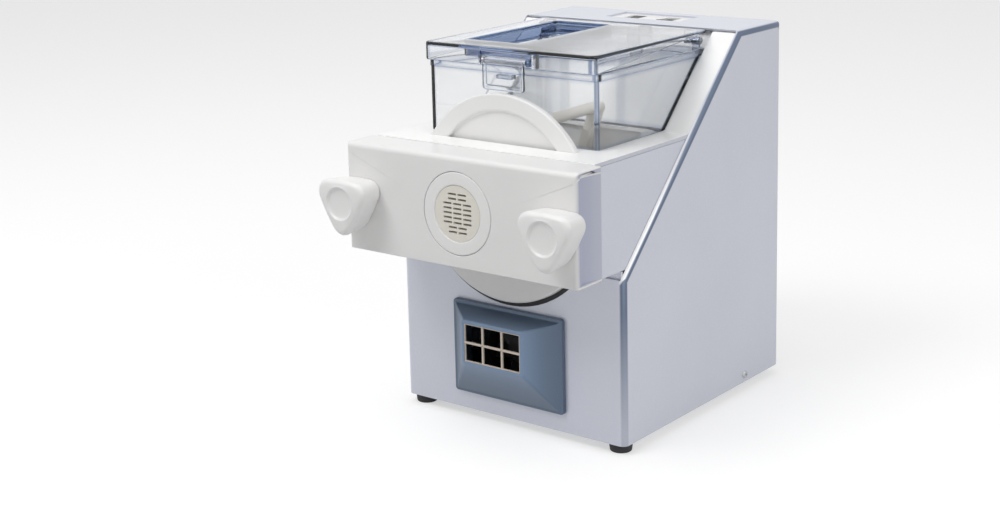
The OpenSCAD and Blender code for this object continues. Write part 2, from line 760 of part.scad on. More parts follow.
module gearbox_case() color("#9fa2a8") centred() difference() {
    union() {
        front_plate([box_y + seat, cover_g_y - seat]) gearbox_outline(4);
        front_plate([box_y + seat, cover_g_y - seat]) bolt_places() circle(5);
    }
    front_plate([box_y + seat + wall_g, cover_g_y]) gearbox_outline(0);
    rod(bush_r + run, [box_y - 1, box_y + 9]);
    rod(mid_shaft_r + run, [box_y + 1.5, box_y + 9], mid_x, mid_z);
    rod(mid_shaft_r + run, [box_y + 1.5, box_y + 9], 0, in_z);
    front_plate([cover_g_y - 14, cover_g_y]) bolt_places() circle(1.8);
}

mid_shaft_r = 4;

module gearbox_cover() color("#a7aab0") centred() difference() {
    union() {
        front_plate([cover_g_y, cover_g_y + wall_g]) gearbox_outline(4);
        front_plate([cover_g_y, cover_g_y + wall_g]) bolt_places() circle(5);
        rod(bush_r + 3, [cover_g_y + 1, cover_g_y + wall_g + 3]);
    }
    rod(bush_r + run, [cover_g_y - 1, cover_g_y + wall_g + 1.5]);
    rod(mid_shaft_r + run, [cover_g_y - 1, cover_g_y + wall_g - 1], mid_x, mid_z);
    rod(mid_shaft_r + run, [cover_g_y - 1, cover_g_y + 9], 0, in_z);
    front_plate([cover_g_y - 1, cover_g_y + wall_g + 1]) bolt_places() circle(2.2);
}

gear_screw_d = 3.2;
gear_screw_l = 15;

module gearbox_screws() color("#8b8e94") centred()
    translate([0, cover_g_y + wall_g + 0.05, 0]) rotate([90, 0, 0])
        bolt_places() screw(gear_screw_d, gear_screw_l, screw_head_d, 2.2);

// ---- shaft, auger and paddle ----
shaft_front = cover_y + 19;
shaft_r = shaft_d / 2;
auger_r = barrel_bore / 2 - 0.7;

module bushes() color("#c79a55") centred() {
    tube(shaft_r + run, bush_r, [bowl_d + 6 + seat, bulk_y - seat]);
    tube(shaft_r + run, bush_r, [box_y + 1, box_y + wall_g + 1]);
    tube(shaft_r + run, bush_r, [cover_g_y + seat, cover_g_y + wall_g + 1.2]);
}

module shaft_seal() color("#1b1c1e") centred()
    tube(shaft_r + run, seal_r, [bowl_d - bowl_wall + 0.5, bowl_d + 6]);

module drive_shaft() color("#b5b8bd") centred() union() {
    rod(shaft_r, [22, cover_g_y + wall_g]);
    rod(shaft_r - 1.5, [shaft_front + 2, 23]);
}

// Screw flight: a sector twisted along the axis
auger_pitch = 34;
auger_l = 68;
flight_a = 42;

module auger() color("#e9e7e2") centred() difference() {
    union() {
        rod(10, [shaft_front, shaft_front + auger_l]);
        translate([0, shaft_front + auger_l, axis_z]) rotate([90, 0, 0])
            linear_extrude(auger_l, twist = 360 * auger_l / auger_pitch, slices = 44, segments = 8)
                polygon(concat(
                    [for (a = [0:flight_a / 3:flight_a]) [auger_r * cos(a), auger_r * sin(a)]],
                    [[8 * cos(flight_a), 8 * sin(flight_a)], [8, 0]]));
    }
    rod(shaft_r - 1.5 + run, [shaft_front + 2 - seat, shaft_front + auger_l + 1]);
}

paddle_r = bowl_r - 9;
paddle_y = [26, bowl_d - bowl_wall - 4];

module kneading_paddle() color("#e6e4de") centred() difference() {
    union() {
        rod(shaft_r + 5, [paddle_y[0] - 1, paddle_y[1] + 1]);
        for (a = [20, 200]) translate([0, 0, axis_z]) rotate([0, a, 0]) {
            for (y = [paddle_y[0], paddle_y[1] - 8])
                block([-4, 4], [y, y + 8], [0, paddle_r - 5]);
            rod(5, [paddle_y[0] + 1, paddle_y[1] - 1], 0, paddle_r - 5);
        }
    }
    rod(shaft_r + run, [0, bowl_d]);
}

// ---- gears and belt drive ----
// Thinning of each tooth flank, as a share of the module
backlash = 0.06;
function inv(a) = tan(a) * 180 / PI - a;
// Half angle of a tooth at radius q, for n teeth of module m
function tooth_half(n, m, q) =
    90 / n - backlash * 360 / (PI * n) + inv(20) - inv(acos(min(1, n * m / 2 * cos(20) / q)));

// Involute outline with one tooth centred at angle a, as [radius, angle] pairs made points
function gear_points(n, m, a) =
    let (
        root = m * (n / 2 - 1.25),
        low = max(n * m / 2 * cos(20), m * (n / 2 - 1.2)),
        qs = [for (k = [0:3]) low + (m * (n / 2 + 0.95) - low) * k / 3],
        half = [for (q = qs) tooth_half(n, m, q)],
        tooth = concat(
            [[root, -half[0]]], [for (k = [0:3]) [qs[k], -half[k]]],
            [for (k = [3:-1:0]) [qs[k], half[k]]], [[root, half[0]]]))
    [for (t = [0:n - 1], p = tooth) let (w = a + t * 360 / n + p[1]) [p[0] * cos(w), p[0] * sin(w)]];

module gear(n, m, y, x, z, a)
    front_plate(y) translate([x, z]) polygon(gear_points(n, m, a));

out_dir = atan2(mid_z - axis_z, mid_x);
mid_dir = atan2(in_z - mid_z, -mid_x);
half_pitch = 180 / pinion_teeth;

module output_gear() color("#d8d2c2") centred() difference() {
    union() {
        gear(out_teeth, out_module, [plane_out + 1, plane_out + out_w - 1], 0, axis_z, out_dir);
        rod(shaft_r + 6, [plane_out, plane_out + out_w]);
    }
    rod(shaft_r + run, [plane_out - 1, plane_out + out_w + 1]);
    // lightening holes
    for (a = [0:60:300])
        rod(8, [plane_out, plane_out + out_w], 32 * cos(a), axis_z + 32 * sin(a));
}

module intermediate_gear() color("#a9adb3") centred() {
    gear(pinion_teeth, out_module, [plane_out, plane_out + out_w + 1], mid_x, mid_z, out_dir + 180 + half_pitch);
    gear(mid_teeth, in_module, [plane_mid, plane_mid + mid_w], mid_x, mid_z, mid_dir);
    rod(mid_shaft_r, [box_y + 1.8, cover_g_y + wall_g - 1.3], mid_x, mid_z);
    rod(10, [plane_out + out_w, plane_mid + 0.5], mid_x, mid_z);
}

module input_shaft() color("#b5b8bd") centred() {
    gear(pinion_teeth, in_module, [plane_mid - 1, plane_mid + mid_w + 1], 0, in_z, mid_dir + 180 + half_pitch);
    rod(mid_shaft_r, [box_y + 1.8, pulley_y + pulley_w + 2], 0, in_z);
}

module large_pulley() color("#44474c") centred() difference() {
    union() {
        tube(pulley_r - 4, pulley_r, [pulley_y, pulley_y + pulley_w], 0, in_z);
        rod(pulley_r - 3, [pulley_y + 5, pulley_y + 9], 0, in_z);
        rod(11, [pulley_y, pulley_y + pulley_w], 0, in_z);
        for (y = [pulley_y, pulley_y + pulley_w - 1.4])
            tube(pulley_r - 1, pulley_r + 1.6, [y, y + 1.4], 0, in_z);
    }
    rod(mid_shaft_r + run, [pulley_y - 1, pulley_y + 30], 0, in_z);
    for (a = [0:72:288])
        rod(8, [pulley_y, pulley_y + pulley_w], 24 * cos(a), in_z + 24 * sin(a));
}

module motor_pulley() color("#8f9298") centred() difference() {
    union() {
        rod(motor_pulley_r, [pulley_y, pulley_y + pulley_w], 0, motor_z);
        for (y = [pulley_y, pulley_y + pulley_w - 1.4])
            rod(motor_pulley_r + 1.6, [y, y + 1.4], 0, motor_z);
    }
    rod(motor_shaft_d / 2 + run, [pulley_y - 1, pulley_y + 30], 0, motor_z);
}

module belt_loop(grow) hull() {
    translate([0, in_z]) circle(pulley_r + grow, $fn = 96);
    translate([0, motor_z]) circle(motor_pulley_r + grow, $fn = 64);
}

module drive_belt() color("#1c1d1f") centred()
    front_plate([pulley_y + 1.9, pulley_y + pulley_w - 1.9]) difference() {
        belt_loop(2.4);
        belt_loop(0.4);
    }

// ---- motor ----
rotor_r = motor_r * 0.56;
bolt_ring = motor_r + 3;
bell_l = 20;
rotor_in = 14;
winding_in = 8;
cool_gap = 8;
cool_l = 10;
cool_y = motor_y0 - cool_gap;

module motor_places() for (a = [45:90:315])
    rotate([0, a, 0]) translate([bolt_ring, 0, 0]) children();

module motor_rotor() color("#8e9197") centred() {
    rod(rotor_r, [motor_y0 + rotor_in, motor_y1 - rotor_in], 0, motor_z);
    rod(motor_shaft_d / 2, [cool_y - cool_l - 4, pulley_y + pulley_w + 2], 0, motor_z);
}

module motor_stator() color("#5a5d63") centred()
    tube(rotor_r + 0.5, motor_r, [motor_y0 + bell_l, motor_y1 - bell_l], 0, motor_z);

module motor_windings() color("#b4622b") centred()
    for (y = [motor_y0 + winding_in, motor_y1 - bell_l + seat])
        tube(rotor_r + 2, motor_r - 4, [y, y + bell_l - seat - winding_in], 0, motor_z);

// End bell with its open side toward +Y
module motor_bell() difference() {
    union() {
        tube(motor_r - 3, motor_r, [-2, bell_l - seat], 0, 0);
        rod(motor_r - 2.2, [-3, 0], 0, 0);
        rod(10, [-1, 6], 0, 0);
        motor_places() rod(5, [-3, 4], 0, 0);
    }
    rod(motor_shaft_d / 2 + run, [-4, 9], 0, 0);
    motor_places() rod(1.9, [-4, 9], 0, 0);
    for (a = [0:60:300])
        rotate([0, a, 0]) rod(5, [-4, 2], motor_r * 0.58, 0);
}

module motor_bell_front() color("#a2a5ab") centred()
    translate([0, motor_y0, motor_z]) motor_bell();
module motor_bell_rear() color("#a2a5ab") centred()
    translate([0, motor_y1, motor_z]) mirror([0, 1, 0]) motor_bell();

module motor_bolts() color("#8b8e94") centred() translate([0, 0, motor_z]) motor_places() {
    rod(1.8, [motor_y0 - 5, motor_y1 + 6], 0, 0);
    rod(3.4, [motor_y0 - 6.2, motor_y0 - 3.1], 0, 0);
    rod(3.4, [motor_y1 + 3.1, motor_y1 + 5.6], 0, 0);
}

module motor_fan() color("#2c2e31") centred() difference() {
    union() {
        rod(9, [cool_y - cool_l, cool_y], 0, motor_z);
        rod(motor_r - 4, [cool_y - 1.5, cool_y], 0, motor_z);
        for (a = [0:45:315])
            translate([0, 0, motor_z]) rotate([0, a, 0])
                block([8, motor_r - 5], [cool_y - cool_l, cool_y - 1], [-0.9, 0.9]);
    }
    rod(motor_shaft_d / 2 + run, [cool_y - cool_l - 1, motor_y0], 0, motor_z);
}

mount_h = 6;
bracket_x = motor_r - 2;
bracket_ys = [motor_y0 + 26, motor_y1 - 32];

module mount_places() for (sx = [-1, 1], y = bracket_ys)
    translate([sx * (bracket_x - 6), y + 3, base_z]) children();

module motor_bracket() color("#777b82") centred() difference() {
    union() {
        block([-bracket_x, bracket_x], [bracket_ys[0] - 6, bracket_ys[1] + 12],
            [base_z + mount_h + seat, base_z + mount_h + 2.5]);
        for (y = bracket_ys)
            block([-bracket_x, bracket_x], [y, y + 6], [base_z + mount_h + 1, motor_z - 8]);
    }
    rod(motor_r + seat, [0, case_d], 0, motor_z);
    translate([0, 0, motor_z]) motor_places() rod(3, [0, case_d], 0, 0);
}

module rubber_mounts() color("#1a1b1d") centred() mount_places()
    translate([0, 0, 0.1]) cylinder(r = 6, h = mount_h);

// The motor capacitor, lying on the base with its two tags to the rear
module capacitor() color("#d9dade") centred() {
    cap_z = base_z + cap_d / 2 + seat;
    cap_y = [box_y + cap_gap, box_y + cap_gap + cap_l];
    rod(cap_d / 2, cap_y, -cap_off, cap_z);
    for (x = [-cap_d / 8, cap_d / 8])
        rod(1, [cap_y[1] - 1, cap_y[1] + 6], x - cap_off, cap_z);
}

// ---- drying fan and outlet hood ----
fan_y = 10;
blade_r = fan_w / 2 - 5;

module fan_frame() color("#232427") centred() difference() {
    union() {
        difference() {
            block([-fan_w / 2, fan_w / 2], [fan_y, fan_y + fan_d], [hood_mid - fan_w / 2, hood_mid + fan_w / 2]);
            rod(blade_r + 1, [fan_y - 1, fan_y + fan_d + 1], 0, hood_mid);
        }
        // spider, hub and axle behind the impeller
        rod(11, [fan_y + fan_d - 4, fan_y + fan_d], 0, hood_mid);
        for (a = [0:90:270])
            translate([0, 0, hood_mid]) rotate([0, a + 20, 0])
                block([-1.5, 1.5], [fan_y + fan_d - 3, fan_y + fan_d], [9, blade_r + 2]);
        rod(1.5, [fan_y + 3, fan_y + fan_d - 2], 0, hood_mid);
    }
    for (sx = [-1, 1], sz = [-1, 1])
        rod(2, [fan_y - 1, fan_y + fan_d + 1], sx * (fan_w / 2 - 4.5), hood_mid + sz * (fan_w / 2 - 4.5));
}

module fan_impeller() color("#2f3135") centred() difference() {
    union() {
        rod(11, [fan_y + 2, fan_y + fan_d - 5], 0, hood_mid);
        for (a = [0:360 / 7:359])
            translate([0, fan_y + 8.5, hood_mid]) rotate([0, a, 0]) rotate([0, 0, 35])
                block([-7, 7], [-0.8, 0.8], [9, blade_r - 1]);
    }
    rod(1.5 + run, [fan_y + 2.9, fan_y + fan_d], 0, hood_mid);
}

grille_w = 3 * cell_w + 4 * bar_w;
grille_h = 2 * cell_h + 3 * bar_w;

module hood_form(i) hull() {
    block([-hood_w / 2 + 3 + i, hood_w / 2 - 3 - i], [-4, -3.9], [hood_z + 3 + i, hood_z + hood_h - 3 - i]);
    block([-grille_w / 2 - 1 + i, grille_w / 2 + 1 - i], [-hood_reach + i, -hood_reach + i + 0.1],
        [grille_z - grille_h / 2 - 1 + i, grille_z + grille_h / 2 + 1 - i]);
}

module outlet_hood() color("#a9b3cb") centred() difference() {
    duct = hood_w / 2 - 6.3;
    union() {
        hood_form(0);
        block([-hood_w / 2, hood_w / 2], [-4, -seat], [hood_z, hood_z + hood_h]);
        block([-duct, duct], [-1, fan_y - seat], [hood_z + 6.3, hood_z + hood_h - 6.3]);
    }
    hood_form(2);
    block([-duct + 2, duct - 2], [-4.5, fan_y - 2.3], [hood_z + 8.3, hood_z + hood_h - 8.3]);
    rod(blade_r, [0, fan_y + 1], 0, hood_mid);
    for (col = [-1:1], row = [-0.5, 0.5])
        front_plate([-hood_reach - 1, -hood_reach + 3])
            translate([col * (cell_w + bar_w), grille_z + row * (cell_h + bar_w)])
                round_rect(cell_w, cell_h, 2);
}

// ---- controls ----
panel_mid = panel_y + panel_d / 2;

module control_plate() color("#e9e8e6") centred() difference() {
    union() {
        block([panel_x - panel_w / 2 + seat, panel_x + panel_w / 2 - seat],
            [panel_y + seat, panel_y + panel_d - seat], [panel_z - 3, panel_z]);
        block([panel_x - panel_w / 2 - 4, panel_x + panel_w / 2 + 4], [panel_y - 4, panel_y + panel_d + 4],
            [panel_z - 3, case_top - case_wall - seat]);
    }
    for (sx = [-1, 1])
        translate([panel_x + sx * rocker_x, panel_mid, 0])
            block([-7.5, 7.5], [-11.6, 11.6], [panel_z - 4, panel_z + 1]);
}

// A rocker about its pivot, tilted by a degrees
module rocker(x, a) translate([panel_x + x, panel_mid, rocker_z]) rotate([a, 0, 0]) {
    side_plate([-7, 7]) polygon([[-10.5, -3], [-10.5, 4.4], [0, 3], [10.5, 4.4], [10.5, -3]]);
    rod_x(1.5, [-8.6, 8.6], 0, 0);
}

module rocker_mix() color("#2b2c2f") centred() rocker(-rocker_x, 0);
module rocker_fan() color("#2b2c2f") centred() rocker(rocker_x, -rocker_tilt);

module switch_bodies() color("#303236") centred() for (sx = [-1, 1])
    translate([panel_x + sx * rocker_x, panel_mid, rocker_z]) difference() {
        block([-10, 10], [-14, 14], [-25, panel_z - 3 - seat - rocker_z]);
        block([-7.5, 7.5], [-11.9, 11.9], [-8, 9]);
        rod_x(1.5 + run, [-9, 9], 0, 0);
        block([-9, 9], [-1.5 - run, 1.5 + run], [0, 3]);
    }

inlet_x = 62;
inlet_z = 45;

module power_inlet() color("#1d1e20") centred() translate([inlet_x, 0, inlet_z]) difference() {
    union() {
        block([-13.5, 13.5], [case_d - 24, case_d - 1.3], [-10, 10]);
        front_plate([case_d - 1.4, case_d]) round_rect(40, 23, 4);
        for (x = [-7, 0, 7])
            block([x - 2, x + 2], [case_d - 32, case_d - 23], [-0.4, 0.4]);
    }
    difference() {
        block([-12, 12], [case_d - 18, case_d + 1], [-8.25, 8.25]);
        for (x = [-7, 0, 7])
            block([x - 2, x + 2], [case_d - 18, case_d - 5], [(x == 0 ? 2 : -2) - 1, (x == 0 ? 2 : -2) + 1]);
    }
}

outer_casing();
base_plate();
rear_panel();
feet();
foot_screws();
casing_screws();
cheek_left();
cheek_right();
shelf_moulding();
bowl();
bowl_seal();
head_disc();
barrel();
tank();
lid();
lid_pin();
lid_latch();
latch_pin();
front_cover();
die_ring();
die();
knob_left();
knob_right();
studs();
stud_arms();
cover_switch();
switch_plunger();
bulkhead();
gearbox_case();
gearbox_cover();
gearbox_screws();
bushes();
shaft_seal();
drive_shaft();
auger();
kneading_paddle();
output_gear();
intermediate_gear();
input_shaft();
large_pulley();
drive_belt();
motor_pulley();
motor_rotor();
motor_stator();
motor_windings();
motor_bell_front();
motor_bell_rear();
motor_bolts();
motor_fan();
motor_bracket();
rubber_mounts();
capacitor();
fan_frame();
fan_impeller();
outlet_hood();
control_plate();
rocker_mix();
rocker_fan();
switch_bodies();
power_inlet();
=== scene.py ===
"""Looks for the electric pasta maker: shaped pieces, finishes, light and camera.

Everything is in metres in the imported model's frame: +Z up, +X to the right seen
from the front, and the front towards -Y. Sizes come from the CAD nodes' boxes.
"""
import json

import bmesh
import bpy
import numpy as np
from mathutils import Matrix, Vector


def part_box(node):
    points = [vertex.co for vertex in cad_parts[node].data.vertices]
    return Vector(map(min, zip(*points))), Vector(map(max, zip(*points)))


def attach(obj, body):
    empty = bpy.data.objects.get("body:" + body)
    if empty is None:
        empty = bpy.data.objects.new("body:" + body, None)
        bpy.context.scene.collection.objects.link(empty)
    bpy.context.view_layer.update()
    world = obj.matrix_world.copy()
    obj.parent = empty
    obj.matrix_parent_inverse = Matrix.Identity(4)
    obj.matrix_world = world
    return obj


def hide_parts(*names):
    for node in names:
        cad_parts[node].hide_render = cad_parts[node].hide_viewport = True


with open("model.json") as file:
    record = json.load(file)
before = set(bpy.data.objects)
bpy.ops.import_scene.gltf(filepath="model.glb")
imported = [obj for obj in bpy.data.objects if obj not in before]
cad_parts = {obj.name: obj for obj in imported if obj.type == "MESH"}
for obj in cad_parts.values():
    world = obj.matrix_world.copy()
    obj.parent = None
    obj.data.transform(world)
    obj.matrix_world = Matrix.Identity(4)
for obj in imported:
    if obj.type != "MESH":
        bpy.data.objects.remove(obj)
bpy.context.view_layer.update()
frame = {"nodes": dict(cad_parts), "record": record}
NODES = frame["nodes"]
MM = 0.001

# ---- places taken from the CAD nodes ----
CASE_LOW, CASE_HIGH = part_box("outer_casing")
COVER_LOW, COVER_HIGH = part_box("front_cover")
RING_LOW, RING_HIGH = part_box("die_ring")
COLUMN_Y = CASE_LOW[1]
TOP_Z = CASE_HIGH[2]
COVER_Y = COVER_LOW[1]
AXIS_Z = (RING_LOW[2] + RING_HIGH[2]) / 2
FOLD_R = 0.006
SLOPE_FOOT_Z = 0.147
SLOPE_RUN = 0.181
SLOPE = np.arctan2(TOP_Z - SLOPE_FOOT_Z, SLOPE_RUN)


# ---------------------------------------------------------------- camera
CAMERA_PLACE = (0.8459, -1.1722, 0.5317)
CAMERA_TARGET = (-0.0717, -0.0363, 0.2426)
CAMERA_ROLL = np.radians(-1.51)
SENSOR_W = 36.0
FOCAL_PIXELS = 1721.5
IMAGE_SIZE = (1000, 525)
PRINCIPAL_POINT = (470.7, 129.4)


def add_camera():
    """A camera looking from its place to its target, rolled about its view."""
    back = (Vector(CAMERA_PLACE) - Vector(CAMERA_TARGET)).normalized()
    right = Vector((0, 0, 1)).cross(back).normalized()
    up = back.cross(right)
    c, s = np.cos(CAMERA_ROLL), np.sin(CAMERA_ROLL)
    columns = (c * right + s * up, c * up - s * right, back)
    data = bpy.data.cameras.new("camera")
    data.sensor_width = SENSOR_W
    data.lens = FOCAL_PIXELS / IMAGE_SIZE[0] * SENSOR_W
    data.shift_x = (IMAGE_SIZE[0] / 2 - PRINCIPAL_POINT[0]) / IMAGE_SIZE[0]
    data.shift_y = (PRINCIPAL_POINT[1] - IMAGE_SIZE[1] / 2) / IMAGE_SIZE[0]
    camera = bpy.data.objects.new("camera", data)
    camera.matrix_world = Matrix.Translation(CAMERA_PLACE) @ Matrix(columns).transposed().to_4x4()
    bpy.context.collection.objects.link(camera)
    bpy.context.scene.camera = camera


# ---------------------------------------------------------------- shader maths
class Wire:
    """A node's output socket; arithmetic on it adds the nodes that work it out."""

    def __init__(self, wiring, socket):
        self.wiring = wiring
        self.socket = socket

    def maths(self, operation, *values):
        return self.wiring.node("Math", {"operation": operation}, dict(enumerate(values)))

    def __add__(self, other):
        return self.maths("ADD", self, other)

    def __sub__(self, other):
        return self.maths("SUBTRACT", self, other)

    def __rsub__(self, other):
        return self.maths("SUBTRACT", other, self)

    def __mul__(self, other):
        return self.maths("MULTIPLY", self, other)

    def __pow__(self, other):
        return self.maths("POWER", self, other)

    def __gt__(self, other):
        return self.maths("GREATER_THAN", self, other)

    def __abs__(self):
        return self.maths("ABSOLUTE", self)

    def least(self, other):
        """The lesser of this value and another."""
        return self.maths("MINIMUM", self, other)

    def most(self, other):
        """The greater of this value and another."""
        return self.maths("MAXIMUM", self, other)

    __radd__ = __add__
    __rmul__ = __mul__


class Wiring:
    """A node tree whose nodes are added by calls."""

    def __init__(self, tree):
        self.tree = tree

    def feed(self, socket, value):
        """Links a wire to a socket, or gives the socket a constant."""
        if isinstance(value, Wire):
            self.tree.links.new(value.socket, socket)
        elif socket.type == "RGBA":
            socket.default_value = (*value, 1.0)
        else:
            socket.default_value = value

    def node(self, kind, settings, values, output=0):
        """A node of this kind: its settings first, then its sockets, then one output."""
        made = self.tree.nodes.new("ShaderNode" + kind)
        for key, value in settings.items():
            setattr(made, key, value)
        for key, value in values.items():
            self.feed(made.inputs[key], value)
        return Wire(self, made.outputs[output])

    def seen_directly(self):
        """1 for camera, glossy and transmitted rays, 0 for the rest."""
        camera, glossy, through = (self.node("LightPath", {}, {}, f"Is {ray} Ray")
                                   for ray in ("Camera", "Glossy", "Transmission"))
        return camera.most(glossy).most(through)


class Finish(Wiring):
    """A material with one Principled shader, on Object coordinates."""

    def __init__(self, name, **sockets):
        self.material = bpy.data.materials.new(name)
        self.material.use_nodes = True
        super().__init__(self.material.node_tree)
        self.tree.nodes.clear()
        self.shader = self.tree.nodes.new("ShaderNodeBsdfPrincipled")
        output = self.tree.nodes.new("ShaderNodeOutputMaterial")
        self.tree.links.new(self.shader.outputs["BSDF"], output.inputs["Surface"])
        for socket, value in sockets.items():
            self.feed(self.shader.inputs[socket.replace("_", " ")], value)
        self.place = self.node("TexCoord", {}, {}, "Object")

    def set(self, socket, value):
        self.feed(self.shader.inputs[socket], value)

    def along(self, axis):
        """The Object coordinate along X, Y or Z."""
        return self.node("SeparateXYZ", {}, {0: self.place}, axis)

    def edge_mark(self):
        """The mesh's own edge attribute."""
        return self.node("Attribute", {"attribute_name": "edge"}, {}, "Fac")

    def noise(self, grains, detail=2.0, stretch=(1, 1, 1)):
        """Noise with this many grains to the metre, closer along the stretched axes."""
        place = self.place
        if stretch != (1, 1, 1):
            place = self.node("Mapping", {}, {"Vector": self.place, "Scale": stretch})
        return self.node("TexNoise", {}, {"Vector": place, "Scale": grains, "Detail": detail})

    def mix(self, factor, first, second):
        """Two colours mixed by a factor."""
        return self.node(
            "Mix", {"data_type": "RGBA"}, {0: factor, 6: first, 7: second}, 2)

    def ramp(self, value, start, end):
        """0 up to the start, 1 from the end on, and a straight rise between them."""
        return self.node("MapRange", {}, {0: value, 1: start, 2: end})

    def bump(self, height, depth):
        """Relief of this depth in metres from a height of 0 to 1."""
        self.set("Normal", self.node(
            "Bump", {}, {"Strength": 1.0, "Distance": depth, "Height": height}))


def shade(colour, factor):
    """A colour made lighter or darker by a factor."""
    return tuple(min(1.0, c * factor) for c in colour)


def lacquer(name, colour):
    """Satin metallic lacquer: fine pale flakes over a slowly varying base."""
    finish = Finish(name, Metallic=0.30, Coat_Weight=0.25, Coat_Roughness=0.18)
    cloud = finish.noise(9.0)
    flakes = finish.noise(1500.0, 1.0)
    base = finish.mix(cloud, shade(colour, 0.95), shade(colour, 1.05))
    base = finish.mix((flakes > 0.62) * 0.14, base, shade(colour, 1.45))
    finish.set("Roughness", 0.36 + flakes * 0.12)
    finish.bump(finish.noise(700.0, 2.0), 0.012 * MM)
    return finish, base


def metallic_paint(name, colour):
    """The lacquer in one colour."""
    finish, base = lacquer(name, colour)
    finish.set("Base Color", base)
    return finish.material


def plastic(name, colour, roughness=0.32, grain=0.02):
    """Moulded plastic: even colour, faint flow marks and a fine grain."""
    finish = Finish(name)
    flow = finish.noise(14.0, 3.0)
    finish.set("Roughness", roughness - 0.05 + flow * 0.1)
    finish.bump(finish.noise(900.0, 2.0), grain * MM)
    return finish, finish.mix(flow, shade(colour, 0.97), shade(colour, 1.03))


def moulded(name, colour, roughness=0.32, grain=0.02, skins=()):
    """The plastic in one colour. Skins are the colours that take over where the
    edge attribute passes 0, 1 and so on."""
    finish, base = plastic(name, colour, roughness, grain)
    for number, skin_colour in enumerate(skins):
        base = finish.mix(finish.edge_mark() - number, base, skin_colour)
    finish.set("Base Color", base)
    return finish.material


def clear(name, body, edge, deep):
    """Clear moulded plastic with painted dark reflections towards its edges, where the
    edge attribute rises to 1, and darker ones further where it rises to 2."""
    finish = Finish(name, IOR=1.49, Transmission_Weight=1.0)
    rim = finish.edge_mark()
    finish.set("Base Color", finish.mix(rim - 1.0, finish.mix(rim, body, edge), deep))
    finish.set("Roughness", 0.03 + finish.noise(60.0) * 0.03)
    finish.bump(finish.noise(25.0, 1.0), 0.03 * MM)
    return finish.material


def rubber(name, colour):
    """Rubber: matt, with a dusty bloom."""
    finish = Finish(name)
    dust = finish.noise(220.0, 4.0)
    finish.set("Base Color", finish.mix(dust, colour, shade(colour, 2.2)))
    finish.set("Roughness", 0.62 + dust * 0.2)
    finish.bump(finish.noise(1300.0), 0.03 * MM)
    return finish.material


def metal(name, colour, roughness=0.3, stretch=(1, 1, 1), depth=0.01):
    """Bare metal with tool marks that run across the stretched axes."""
    finish = Finish(name, Metallic=1.0)
    marks = finish.noise(500.0, 3.0, stretch)
    finish.set("Base Color", finish.mix(marks, shade(colour, 0.86), shade(colour, 1.1)))
    finish.set("Roughness", roughness - 0.08 + marks * 0.16)
    finish.bump(marks, depth * MM)
    return finish.material


def stacked_sheets(name, colour, pitch, axis, metallic):
    """Thin sheets or turns stacked along an axis, with a dark line between each two."""
    finish = Finish(name, Metallic=metallic)
    along = finish.along(axis)
    line = along.maths("PINGPONG", along, pitch / 2) * (2 / pitch)
    finish.set("Base Color", finish.mix(line ** 0.5, shade(colour, 0.3), colour))
    finish.set("Roughness", 0.45 + finish.noise(300.0) * 0.15)
    finish.bump(line, 0.15 * MM)
    return finish.material


# painted reflection (dark blue-grey) and painted highlight (near white) for the casing's rounded right
# edge
FOLD_PAINTED_REFLECTION = (0.07, 0.11, 0.19)
FOLD_PAINTED_HIGHLIGHT = (0.95, 0.96, 0.97)


def casing_painted_fold(name, colour):
    """The casing's lacquer, with a painted highlight and a painted dark reflection along its
    folded right edge. How far round the fold a point lies follows from its X: 0 on the
    faces that look forward, 1 on the right side. Down the column and along the top the
    fold is painted dark, and low on the slope it is painted bright before it turns dark."""
    finish, base = lacquer(name, colour)
    x, y, z = map(finish.along, "XYZ")
    fold = (x - (CASE_HIGH[0] - FOLD_R)) * (1 / FOLD_R)
    behind_column = y - COLUMN_Y
    under_slope = behind_column * np.sin(SLOPE) - (z - SLOPE_FOOT_Z) * np.cos(SLOPE)
    in_front = finish.ramp(behind_column.least(under_slope), 1.3 * FOLD_R, 1.1 * FOLD_R)
    on_top = finish.ramp(z, TOP_Z - 1.3 * FOLD_R, TOP_Z - 1.1 * FOLD_R)
    on_slope = finish.ramp(z, SLOPE_FOOT_Z - 0.004, SLOPE_FOOT_Z + 0.001)
    highlight_reach = on_slope * finish.ramp(z, SLOPE_FOOT_Z + 0.13, SLOPE_FOOT_Z + 0.04)
    # the painted dark reflection starts and is full further round on the slope, and most where the painted
    # highlight is
    dark = finish.ramp(fold, 0.22 + on_slope * 0.20 + highlight_reach * 0.32,
                       0.45 + on_slope * 0.18 + highlight_reach * 0.22)
    dark = dark * finish.ramp(fold, 0.9975, 0.975) * in_front.most(on_top)
    # the painted dark reflection grows weaker towards the bottom of the casing
    dark = dark * (0.30 + finish.ramp(z, 0.02, 0.12) * 0.62)
    # the painted highlight on the rounding, low on the slope
    light = highlight_reach * in_front * finish.ramp(fold, 0.9, 0.7) * finish.ramp(fold, 0.2, 0.3)
    finish.set("Base Color", finish.mix(dark, finish.mix(light, base, FOLD_PAINTED_HIGHLIGHT), FOLD_PAINTED_REFLECTION))
    return finish.material


HOOD_FLANGE = 0.004


def hood_painted_shade(name, colour):
    """The hood's lacquer, dark as painted shade, and painted paler towards the grille than at the wall."""
    finish, base = lacquer(name, colour)
    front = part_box("outlet_hood")[0][1]
    rise = finish.ramp(finish.along("Y"), COLUMN_Y - HOOD_FLANGE, front)
    finish.set("Base Color", finish.mix(rise * rise, base, shade(colour, 1.8)))
    return finish.material


def shelf_finish(name, colour, side_colour):
    """The shelf's plastic, whose two narrow side faces are silver like the cheeks."""
    finish, base = plastic(name, colour)
    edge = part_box("shelf_moulding")[1][0]
    side = finish.ramp(abs(finish.along("X")), edge - 0.0005, edge - 0.0003)
    finish.set("Base Color", finish.mix(side, base, side_colour))
    return finish.material


